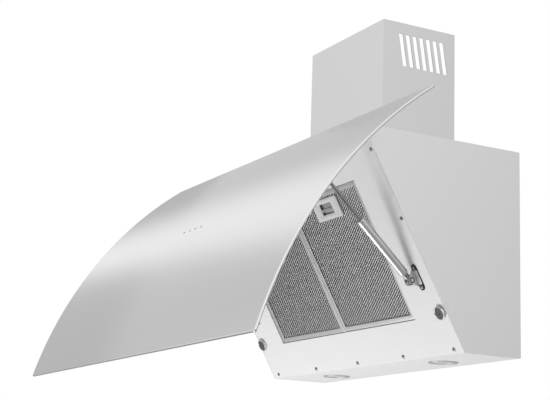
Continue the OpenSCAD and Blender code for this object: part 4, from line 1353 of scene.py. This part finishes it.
@dataclass(frozen=True)
class GasStrut:
    """One gas strut with its foot and head brackets.

    Attributes:
        sizes: The CAD's sizes.
        side: Which strut.
        tube_r: The tube's radius.
        tube_start: Its start's distance up from the lower pin.
        tube_end: Its end's distance.
        cap: How long its closed end is.
        rod_r: The rod's radius.
        rod_start: The piston's distance up from the lower pin.
        piston_r: The piston's radius.
        pin_r: The pins' radius.
        pin_gap: The gap round a pin or the rod.
        clip_r: The pins' heads' radius.
        eye_r: The upper eye's radius.
        fitting_r: The lower eye's radius.
        eye_half: Half of an eye's width.
        foot_up: The lower pin's distance up the face.
        pin_out: Its height out of the face.
        plate_x: The foot plate's distance outward from the strut.
        head_arc: The head bracket's distance along the panel.
    """

    sizes: HoodSizes
    side: Side
    tube_r: float = 7.5
    tube_start: float = 14.0
    tube_end: float = 133.0
    cap: float = 7.0
    rod_r: float = 3.0
    rod_start: float = 110.0
    piston_r: float = 5.95
    pin_r: float = 3.0
    pin_gap: float = 0.05
    clip_r: float = 4.5
    eye_r: float = 7.0
    fitting_r: float = 8.2
    eye_half: float = 4.0
    foot_up: float = 138.0
    pin_out: float = 11.0
    plate_x: float = 10.3
    head_arc: float = 147.0

    def disc(self, shape: Shape, radius: float, ends: Point2, at: Matrix) -> None:
        """Adds a pin or a clip to a shape.

        Args:
            shape: The shape.
            radius: The disc's radius.
            ends: Its lowest and highest place along its axis.
            at: The axis's place.
        """
        low, high = ends
        profile = fillet([(POLE, low), (radius, low), (radius, high), (POLE, high)], 0.3, closed=False)
        shape.turned(profile, at, steps=28)

    def eye(self, shape: Shape, distance: float, radius: float) -> None:
        """Adds an eye to a shape.

        Args:
            shape: The shape.
            distance: The eye's distance up the strut.
            radius: The eye's radius.
        """
        half, bore = self.eye_half, self.pin_r + self.pin_gap
        loop = fillet([(bore, -half), (radius, -half), (radius, half), (bore, half)], 0.6)
        shape.turned(loop, Matrix.Translation((0, 0, distance)) @ ALONG_X, Ends.WRAPPED, 36)

    def tube(self) -> bpy.types.Object:
        """Builds the tube: rolled ends, a hollow for the piston, a neck and the lower eye.

        Returns:
            The tube.
        """
        r, low, high, bore = self.tube_r, self.tube_start, self.tube_end, self.rod_r + self.pin_gap
        outside = [(POLE, low), (5.4, low), (6.9, low + 1.4), (r, low + 3.2), (r, high - 3.5), (6.9, high - 1.6)]
        inside = [(6.0, high - self.cap), (6.0, low + 1.6), (POLE, low + 1.6)]
        profile = outside + [(5.6, high - 0.3), (4.4, high), (bore, high), (bore, high - self.cap)] + inside
        shape = Shape().turned(fillet(profile, 0.7, closed=False, steps=2), steps=56)
        neck = [(POLE, 4.5), (5.0, 4.5), (5.0, low - 2.2), (5.6, low), (5.6, low + 0.4), (POLE, low + 0.4)]
        at = mirror(self.side) @ self.sizes.along_strut(Side.RIGHT)
        made = shape.object("gas_tube_" + self.side.word, at)
        made.data.materials.append(SILVER_LACQUER.material())
        fitting = Shape().turned(neck, steps=32)
        self.eye(fitting, 0, self.fitting_r)
        self.add_dressed(made, fitting.mesh("end_fitting", at), SCREW_STEEL)
        return place(made, "tube_" + self.side.word, "strut_tube", ["strut_tube_" + self.side.word])

    def rod(self) -> bpy.types.Object:
        """Builds the rod: piston, polished rod, upper eye, its stud and clip.

        Returns:
            The rod.
        """
        start, top, thick, thin = self.rod_start, self.sizes.strut_length, self.piston_r, self.rod_r
        profile = [(POLE, start), (thick, start), (thick, start + 8)]
        profile += [(thin, start + 8), (thin, top - 5), (POLE, top - 5)]
        shape = Shape().turned(fillet(profile, 0.5, closed=False, steps=2), steps=36)
        self.eye(shape, top, self.eye_r)
        at = Matrix.Translation((0, 0, top)) @ ALONG_X
        self.disc(shape, self.pin_r, (-5.5, 5.7), at)
        self.disc(shape, self.clip_r, (-7, -5.5), at)
        made = shape.object("gas_rod_" + self.side.word, mirror(self.side) @ self.sizes.along_strut(Side.RIGHT))
        return place(made, "rod_" + self.side.word, "strut_rod", ["strut_rod_" + self.side.word], DARK_CHROME)

    def foot(self) -> bpy.types.Object:
        """Builds the foot bracket: a two-lobed plate, a folded ear, and the pin with its clips.

        Returns:
            The bracket.
        """
        x, up, out = self.sizes.strut_x, self.foot_up, self.pin_out
        face = mirror(self.side) @ self.sizes.on_face(0, 0)
        plate_at = Matrix.Translation((x + self.plate_x, up, 0))
        plate = Shape().slab(12, 46, 6, 0, 2, 0.5, plate_at)
        made = plate.object("foot_bracket_" + self.side.word, face)
        # The plate is black zinc and the bright middle covers it between the lobes, so black shows only round the two
        # lobes; on the upper lobe that black is partly painted shade, where the strut's shadow falls.
        made.data.materials.append(BLACK_ZINC.material())
        middle = Shape().slab(11.4, 25, 2.5, 1.9, 2.3, 0.15, plate_at)
        self.add_dressed(made, middle.mesh("bright_middle", face), BRIGHT_ZINC)
        ear = [(up - 17, 0.2), (up + 17, 0.2), (up + 5.4, 13.4)] + arc(5.9, 24, 156, (up, out)) + [(up - 5.4, 13.4)]
        bright = Shape().prism(ear, x + 4.3, x + 6.3, 0.35, EDGE_ON_FACE)
        at = Matrix.Translation((x, up, out)) @ ALONG_X
        self.disc(bright, self.pin_r, (-4.3, 7.2), at)
        self.add_dressed(made, bright.mesh("ear", face), BRIGHT_ZINC)
        clips = Shape()
        self.disc(clips, self.clip_r, (-5.8, -4.3), at)
        bore = self.pin_r + self.pin_gap
        clips.turned(fillet([(bore, 6.3), (4.8, 6.3), (4.8, 7.0), (bore, 7.0)], 0.2), at, Ends.WRAPPED, 28)
        self.add_dressed(made, clips.mesh("clips", face), MOULDING)
        return place(made, "housing", "dark_metal", ["strut_foot_" + self.side.word])

    @staticmethod
    def add_dressed(made: bpy.types.Object, extra: bpy.types.Mesh, finish: Finish) -> None:
        """Joins a mesh with its own finish to an object.

        Args:
            made: The object.
            extra: The mesh that is added.
            finish: Its finish.
        """
        made.data.materials.append(finish.material())
        slot = len(made.data.materials) - 1
        extra.polygons.foreach_set("material_index", [slot] * len(extra.polygons))
        join(made, extra)

    def head(self) -> bpy.types.Object:
        """Builds the head bracket behind the panel: a base plate and a standing ear.

        Returns:
            The bracket.
        """
        at = mirror(self.side) @ self.sizes.on_panel(self.head_arc, self.sizes.strut_x)
        shape = Shape().slab(16, 36, 3, -3.41, -1.43, 0.4, Matrix.Translation((14, 0, 0)) @ FLAT_ON_PANEL)
        ear = [(-11, -2.2), (-11, -17.2)] + arc(11, 180, 360, (0, -17.2), 18)[1:-1] + [(11, -17.2), (11, -2.2)]
        shape.prism(list(reversed(ear)), 6, 8, 0.35, EDGE_ON_PANEL)
        made = shape.object("head_bracket_" + self.side.word, at)
        return place(made, "panel", "dark_metal", ["strut_head_" + self.side.word], BLACK_ZINC)

    def build(self) -> None:
        """Builds the strut's pieces."""
        self.tube()
        self.rod()
        self.foot()
        self.head()


@dataclass(frozen=True)
class MagnetCatch:
    """The two round catches at the face's foot: nickel cups and ferrite discs."""

    sizes: HoodSizes
    x: float = 298.0
    up: float = 73.0

    def build(self) -> None:
        """Builds the cups, one per side, and the pair of discs."""
        cup = [(POLE, 0), (11.5, 0), (11.5, 5), (9.62, 5), (9.62, 1.5), (POLE, 1.5)]
        disc = [(POLE, 1.5), (9.5, 1.5), (9.5, 4.5), (3.4, 4.5), (2.2, 3.6), (POLE, 3.6)]
        discs = Shape()
        for side in Side:
            at = mirror(side) @ self.sizes.on_face(self.x, self.up)
            made = Shape().turned(fillet(cup, 0.45, False), steps=56).object("catch_cup_" + side.word, at)
            place(made, "housing", "magnet_cup", ["magnet_cup_" + side.word], CUP_NICKEL)
            discs.turned(fillet(disc, 0.4, False), at, steps=48)
        place(discs.object("catch_magnets"), "housing", "magnet", ["magnet_discs"], FERRITE)


@dataclass(frozen=True)
class Lamp:
    """One lamp in the bottom panel: a trim ring and a frosted lens."""

    side: Side
    x: float = 174.0
    y: float = -57.0
    z: float = -175.0

    def build(self) -> None:
        """Builds the ring and the lens."""
        at = mirror(self.side) @ Matrix.Translation((self.x, self.y, self.z))
        ring = [(20.05, -0.9), (21.2, -1.5), (25.5, -1.5), (25.5, 0), (22, 0), (22, 3), (20.05, 3)]
        made = Shape().turned(fillet(ring, 0.5), ends=Ends.WRAPPED, steps=72).object("lamp_ring_" + self.side.word, at)
        place(made, "housing", "lamp_trim", ["lamp_bezel_" + self.side.word], LAMP_TRIM)
        glass = [(POLE, -0.9), (20, -0.9), (20, 1.1), (POLE, 1.1)]
        made = Shape().turned(fillet(glass, 0.5, False), steps=64).object("lamp_glass_" + self.side.word, at)
        place(made, "housing", "lamp_lens", ["lamp_lens_" + self.side.word], LENS)


@dataclass(frozen=True)
class Fasteners:
    """Pan-head screws with a cross recess, set by Geometry Nodes at every screw place."""

    sizes: HoodSizes
    head_r: float = 3.5
    head_h: float = 1.8
    shank_r: float = 1.7
    shank: float = 8.0

    def screw(self) -> bpy.types.Object:
        """Builds one screw in millimetres, with its head up.

        Returns:
            The screw, which is removed once it is set.
        """
        r, h = self.head_r, self.head_h
        profile = [(POLE, -self.shank), (self.shank_r, -self.shank), (self.shank_r, 0), (r, 0), (r, 0.5)]
        profile += [(0.86 * r, 0.72 * h), (0.6 * r, 0.94 * h), (POLE, h)]
        made = Shape().turned(fillet(profile, 0.35, False, 2), steps=24).object("screw")
        cross = Shape()
        arm = ((-2.1, -0.42), (2.1, -0.42), (2.1, 0.42), (-2.1, 0.42))
        cross.prism(arm, 0.7, 3)
        cut(made, cross)
        cut(made, cross, Matrix.Rotation(math.pi / 2, 4, "Z"))
        made.data.transform(Matrix.Scale(1 / MM, 4))
        made.data.materials.append(SCREW_STEEL.material())
        return made

    def places(self) -> dict[str, list[Matrix]]:
        """Every screw's place, by CAD node.

        Returns:
            The places' matrices.
        """
        face = [self.sizes.on_face(share * 290, 8) for share in (-1, -0.5, 0, 0.5, 1)]
        face += [self.sizes.on_face(side.value * 303.8, up) for side in Side for up in (238.1, 359.2)]
        foot = [self.sizes.on_face(side.value * 280.3, up, 2) for side in Side for up in (121, 155)]
        down = Matrix.Rotation(math.pi, 4, "X")
        chimney = [
            Matrix.Translation((side.value * 117.3, y, 173.8)) @ down for side in Side for y in (-31.4, -128.74)
        ]
        return {"face_screws": face, "foot_screws": foot, "chimney_screws": chimney}

    def build(self, tree: bpy.types.NodeTree) -> None:
        """Sets the screws, each turned by its own angle.

        Args:
            tree: The tree that sets a piece on points.
        """
        screw = self.screw()
        for seed, (node, spots) in enumerate(self.places().items()):
            data = bpy.data.meshes.new(node)
            data.from_pydata([m.translation for m in spots], [], [])
            axis = data.attributes.new("axis", "FLOAT_VECTOR", "POINT")
            axis.data.foreach_set("vector", np.array([m.to_3x3() @ Vector((0, 0, 1)) for m in spots], "f").ravel())
            twist = data.attributes.new("twist", "FLOAT", "POINT")
            turns = np.random.default_rng(seed + 7).uniform(0, math.pi / 2, len(spots))
            twist.data.foreach_set("value", turns.astype("f"))
            made = bpy.data.objects.new(node.replace("screws", "screw_heads"), data)
            bpy.context.scene.collection.objects.link(made)
            to_part(grow(made, tree, {"Piece": screw, "Finish": SCREW_STEEL.material()}))
            place(made, "housing", "screws", [node])
        bpy.data.objects.remove(screw)


@dataclass(frozen=True)
class Studio:
    """Camera, lights, backdrop and floor.

    Attributes:
        eye: The camera's place in metres.
        yaw: Turn to the left from looking along y, in degrees.
        pitch: Tilt upward, in degrees.
        roll: Turn about the view, in degrees.
        lens: Focal length on a 36 mm sensor.
        floor_z: The floor's height in metres, so low that no view is taken from under it.
        floor_reach: How far the floor goes to each side, in metres.
        dome: Brightness of the even dome.
        strip: Extra brightness of the strip light in mirrors.
        screen: How much darker the grey screen is than the room in mirrors.
        key_spot: The key lamp's place in metres.
        key_target: The point that it faces.
        key_size: Its width and height in metres.
        key_power: Its power in watts.
    """

    eye: tuple[float, float, float] = (2.1126274, -1.4570211, -0.4352047)
    yaw: float = 61.28415
    pitch: float = 12.70284
    roll: float = 1.87776
    lens: float = 90.79
    floor_z: float = -5.1
    floor_reach: float = 42.0
    dome: float = 0.5
    strip: float = 0.46
    screen: float = 0.15
    key_spot: tuple[float, float, float] = (-0.3, -0.85, -1.32)
    key_target: tuple[float, float, float] = (0.29, -0.2, -0.05)
    key_size: Point2 = (0.85, 0.85)
    key_power: float = 16.5

    def camera(self) -> bpy.types.Object:
        """Sets the camera at the photograph's view.

        Returns:
            The camera.
        """
        yaw, pitch, roll = (math.radians(v) for v in (self.yaw, self.pitch, self.roll))
        ahead = Vector((-math.sin(yaw) * math.cos(pitch), math.cos(yaw) * math.cos(pitch), math.sin(pitch)))
        right = Vector((math.cos(yaw), math.sin(yaw), 0))
        up = right.cross(ahead)
        turned_right = right * math.cos(roll) + up * math.sin(roll)
        turned_up = up * math.cos(roll) - right * math.sin(roll)
        data = bpy.data.cameras.new("camera")
        data.sensor_width, data.lens = 36.0, self.lens
        data.clip_start, data.clip_end = 0.05, 50.0
        made = bpy.data.objects.new("camera", data)
        bpy.context.scene.collection.objects.link(made)
        pose = Matrix((turned_right, turned_up, -ahead)).transposed().to_4x4()
        made.matrix_world = Matrix.Translation(self.eye) @ pose
        bpy.context.scene.camera = made
        return made

    def mirrored(self, tree: bpy.types.NodeTree) -> bpy.types.NodeSocket:
        """Draws what the steel mirrors.

        A darker room stands behind it, with a strip light and a grey screen at its left and a bright wall at its right.

        Args:
            tree: The world's tree.

        Returns:
            The brightness by direction.
        """
        where = add_node(tree, "ShaderNodeTexCoord").outputs["Generated"]
        way = add_node(tree, "ShaderNodeSeparateXYZ", {0: where}).outputs
        # The strip's near end leans, so that its mirror image narrows toward the panel's left end.
        past = add_node(tree, "ShaderNodeMath", {0: way[0], 1: 0.889}, {"operation": "ADD"})
        lean = add_node(tree, "ShaderNodeMath", {0: past.outputs[0], 1: 1.73}, {"operation": "MULTIPLY"})
        strip_end = add_node(tree, "ShaderNodeMath", {0: way[1], 1: lean.outputs[0]}, {"operation": "ADD"})
        # The grey screen stands behind the strip, and its edge leans a little.
        tilt = add_node(tree, "ShaderNodeMath", {0: way[1], 1: 0.087}, {"operation": "MULTIPLY"})
        start = add_node(tree, "ShaderNodeMath", {0: way[0], 1: 0.9006}, {"operation": "ADD"})
        both = {0: tilt.outputs[0], 1: start.outputs[0]}
        screen_edge = add_node(tree, "ShaderNodeMath", both, {"operation": "SUBTRACT"})
        # Each step: its direction, where it starts and ends, and its brightness there and there.
        steps = {
            "strip height": ("SMOOTHSTEP", way[1], 0.23, 0.06, 0.0, 1.0),
            "strip end": ("SMOOTHSTEP", strip_end.outputs[0], -0.115, 0.015, 0.0, 1.0),
            "room": ("SMOOTHSTEP", way[1], -0.1, 0.32, 0.85, 0.72),
            "near room": ("SMOOTHSTEP", way[1], -0.26, -0.45, 0.0, 0.35),
            "screen": ("LINEAR", screen_edge.outputs[0], -0.001, 0.001, 0.0, self.screen),
            "upper screen": ("SMOOTHSTEP", way[1], 0.1, 0.22, 1.0, 1.5),
            "right wall": ("LINEAR", way[1], 0.2, 0.95, 1.5, 0.47),
            "to the right": ("SMOOTHSTEP", way[0], -0.6, 0.4, 0.0, 1.0),
        }
        level = {
            name: add_node(tree, "ShaderNodeMapRange", dict(enumerate(ends)), {"interpolation_type": kind}).outputs[0]
            for name, (kind, *ends) in steps.items()
        }
        # Each sum: its kind and its two terms, which are levels by name or numbers.
        sums = {
            "band": ("MULTIPLY", "strip height", "strip end"),
            "whole room": ("ADD", "room", "near room"),
            "dark screen": ("MULTIPLY", "screen", "upper screen"),
            "off the band": ("SUBTRACT", 1.0, "band"),
            "screened": ("MULTIPLY", "dark screen", "off the band"),
            "unscreened": ("SUBTRACT", 1.0, "screened"),
            "room light": ("MULTIPLY", "whole room", "unscreened"),
            "strip light": ("MULTIPLY", "band", self.strip),
            "left": ("ADD", "room light", "strip light"),
        }
        for name, (kind, *terms) in sums.items():
            values = {i: level[term] if isinstance(term, str) else term for i, term in enumerate(terms)}
            level[name] = add_node(tree, "ShaderNodeMath", values, {"operation": kind}).outputs[0]
        sides = {0: level["to the right"], 2: level["left"], 3: level["right wall"]}
        return add_node(tree, "ShaderNodeMix", sides, {"data_type": "FLOAT"}).outputs[0]

    def world(self) -> None:
        """Makes the studio: white to the camera, shaped light in mirrors, and an even dome for the rest."""
        made = bpy.data.worlds.new("studio")
        made.use_nodes = True
        tree = made.node_tree
        tree.nodes.clear()
        ray = add_node(tree, "ShaderNodeLightPath").outputs
        seen = {0: ray["Is Camera Ray"], 1: ray["Is Transmission Ray"]}
        plain = add_node(tree, "ShaderNodeMath", seen, {"operation": "MAXIMUM"})
        white = add_node(tree, "ShaderNodeBackground", {"Color": (1, 1, 1, 1), "Strength": 1.0})
        lit = {0: ray["Is Glossy Ray"], 2: self.dome, 3: self.mirrored(tree)}
        level = add_node(tree, "ShaderNodeMix", lit, {"data_type": "FLOAT"})
        dome = add_node(tree, "ShaderNodeBackground", {"Color": (1, 1, 1, 1), "Strength": level.outputs[0]})
        both = add_node(tree, "ShaderNodeMixShader", {0: plain.outputs[0], 1: dome.outputs[0], 2: white.outputs[0]})
        add_node(tree, "ShaderNodeOutputWorld", {"Surface": both.outputs[0]})
        bpy.context.scene.world = made

    def lamp(
        self,
        name: str,
        spot: tuple[float, float, float],
        target: Vector,
        size: Point2,
        power: float,
    ) -> bpy.types.Object:
        """Sets one soft box.

        Args:
            name: Its name.
            spot: Its place in metres.
            target: The point that it faces.
            size: Its width and height in metres.
            power: Its power in watts.

        Returns:
            The lamp.
        """
        data = bpy.data.lights.new(name, "AREA")
        data.shape, data.size, data.size_y, data.energy = "RECTANGLE", size[0], size[1], power
        made = bpy.data.objects.new(name, data)
        bpy.context.scene.collection.objects.link(made)
        made.location = spot
        made.rotation_euler = (target - Vector(spot)).to_track_quat("-Z", "Y").to_euler()
        made.visible_camera = False
        return made

    def floor_paint(self) -> bpy.types.Material:
        """Makes the floor's matt white paint, which the camera sees as an even pale ground.

        Returns:
            The material.
        """
        made = bpy.data.materials.new("matt_white_floor_paint")
        made.use_nodes = True
        tree = made.node_tree
        tree.nodes.clear()
        ray = add_node(tree, "ShaderNodeLightPath").outputs
        paint = add_node(tree, "ShaderNodeBsdfDiffuse", {"Color": hex_rgb("#F7F7F7"), "Roughness": 0.9})
        pale = add_node(tree, "ShaderNodeEmission", {"Color": hex_rgb("#F7F7F7"), "Strength": 1.0})
        both = add_node(tree, "ShaderNodeMixShader", {0: ray["Is Camera Ray"], 1: paint.outputs[0], 2: pale.outputs[0]})
        add_node(tree, "ShaderNodeOutputMaterial", {"Surface": both.outputs[0]})
        return made

    def floor(self) -> bpy.types.Object:
        """Lays a pale floor far below the hood, which hangs on a wall.

        Returns:
            The floor.
        """
        data = bpy.data.meshes.new("floor")
        reach = self.floor_reach
        corners = [(-reach, -reach), (reach, -reach), (reach, reach), (-reach, reach)]
        data.from_pydata([(x, y, self.floor_z) for x, y in corners], [], [(0, 1, 2, 3)])
        made = bpy.data.objects.new("floor", data)
        bpy.context.scene.collection.objects.link(made)
        data.materials.append(self.floor_paint())
        return made

    def build(self) -> None:
        """Sets up the whole studio."""
        bpy.context.scene.view_settings.view_transform = "Standard"
        self.camera()
        self.world()
        self.floor()
        # The key light: it draws the strut's soft shadow down the face and the line along its tube.
        self.lamp("key", self.key_spot, Vector(self.key_target), self.key_size, self.key_power)


def main() -> None:
    """Builds the hood's looks piece by piece, then the studio."""
    logging.basicConfig(level=logging.INFO, format="%(name)s: %(message)s")
    for finish, names in CAD_FINISHES.items():
        dress_cad(names, finish)
    CurvedPanel(SIZES).build(bend_tree())
    weave = net_tree()
    for side in Side:
        GreaseFilter(SIZES, side).build(weave)
        GasStrut(SIZES, side).build()
        Lamp(side).build()
    MagnetCatch(SIZES).build()
    Fasteners(SIZES).build(piece_on_points_tree())
    Studio().build()


if __name__ == "__main__":
    main()
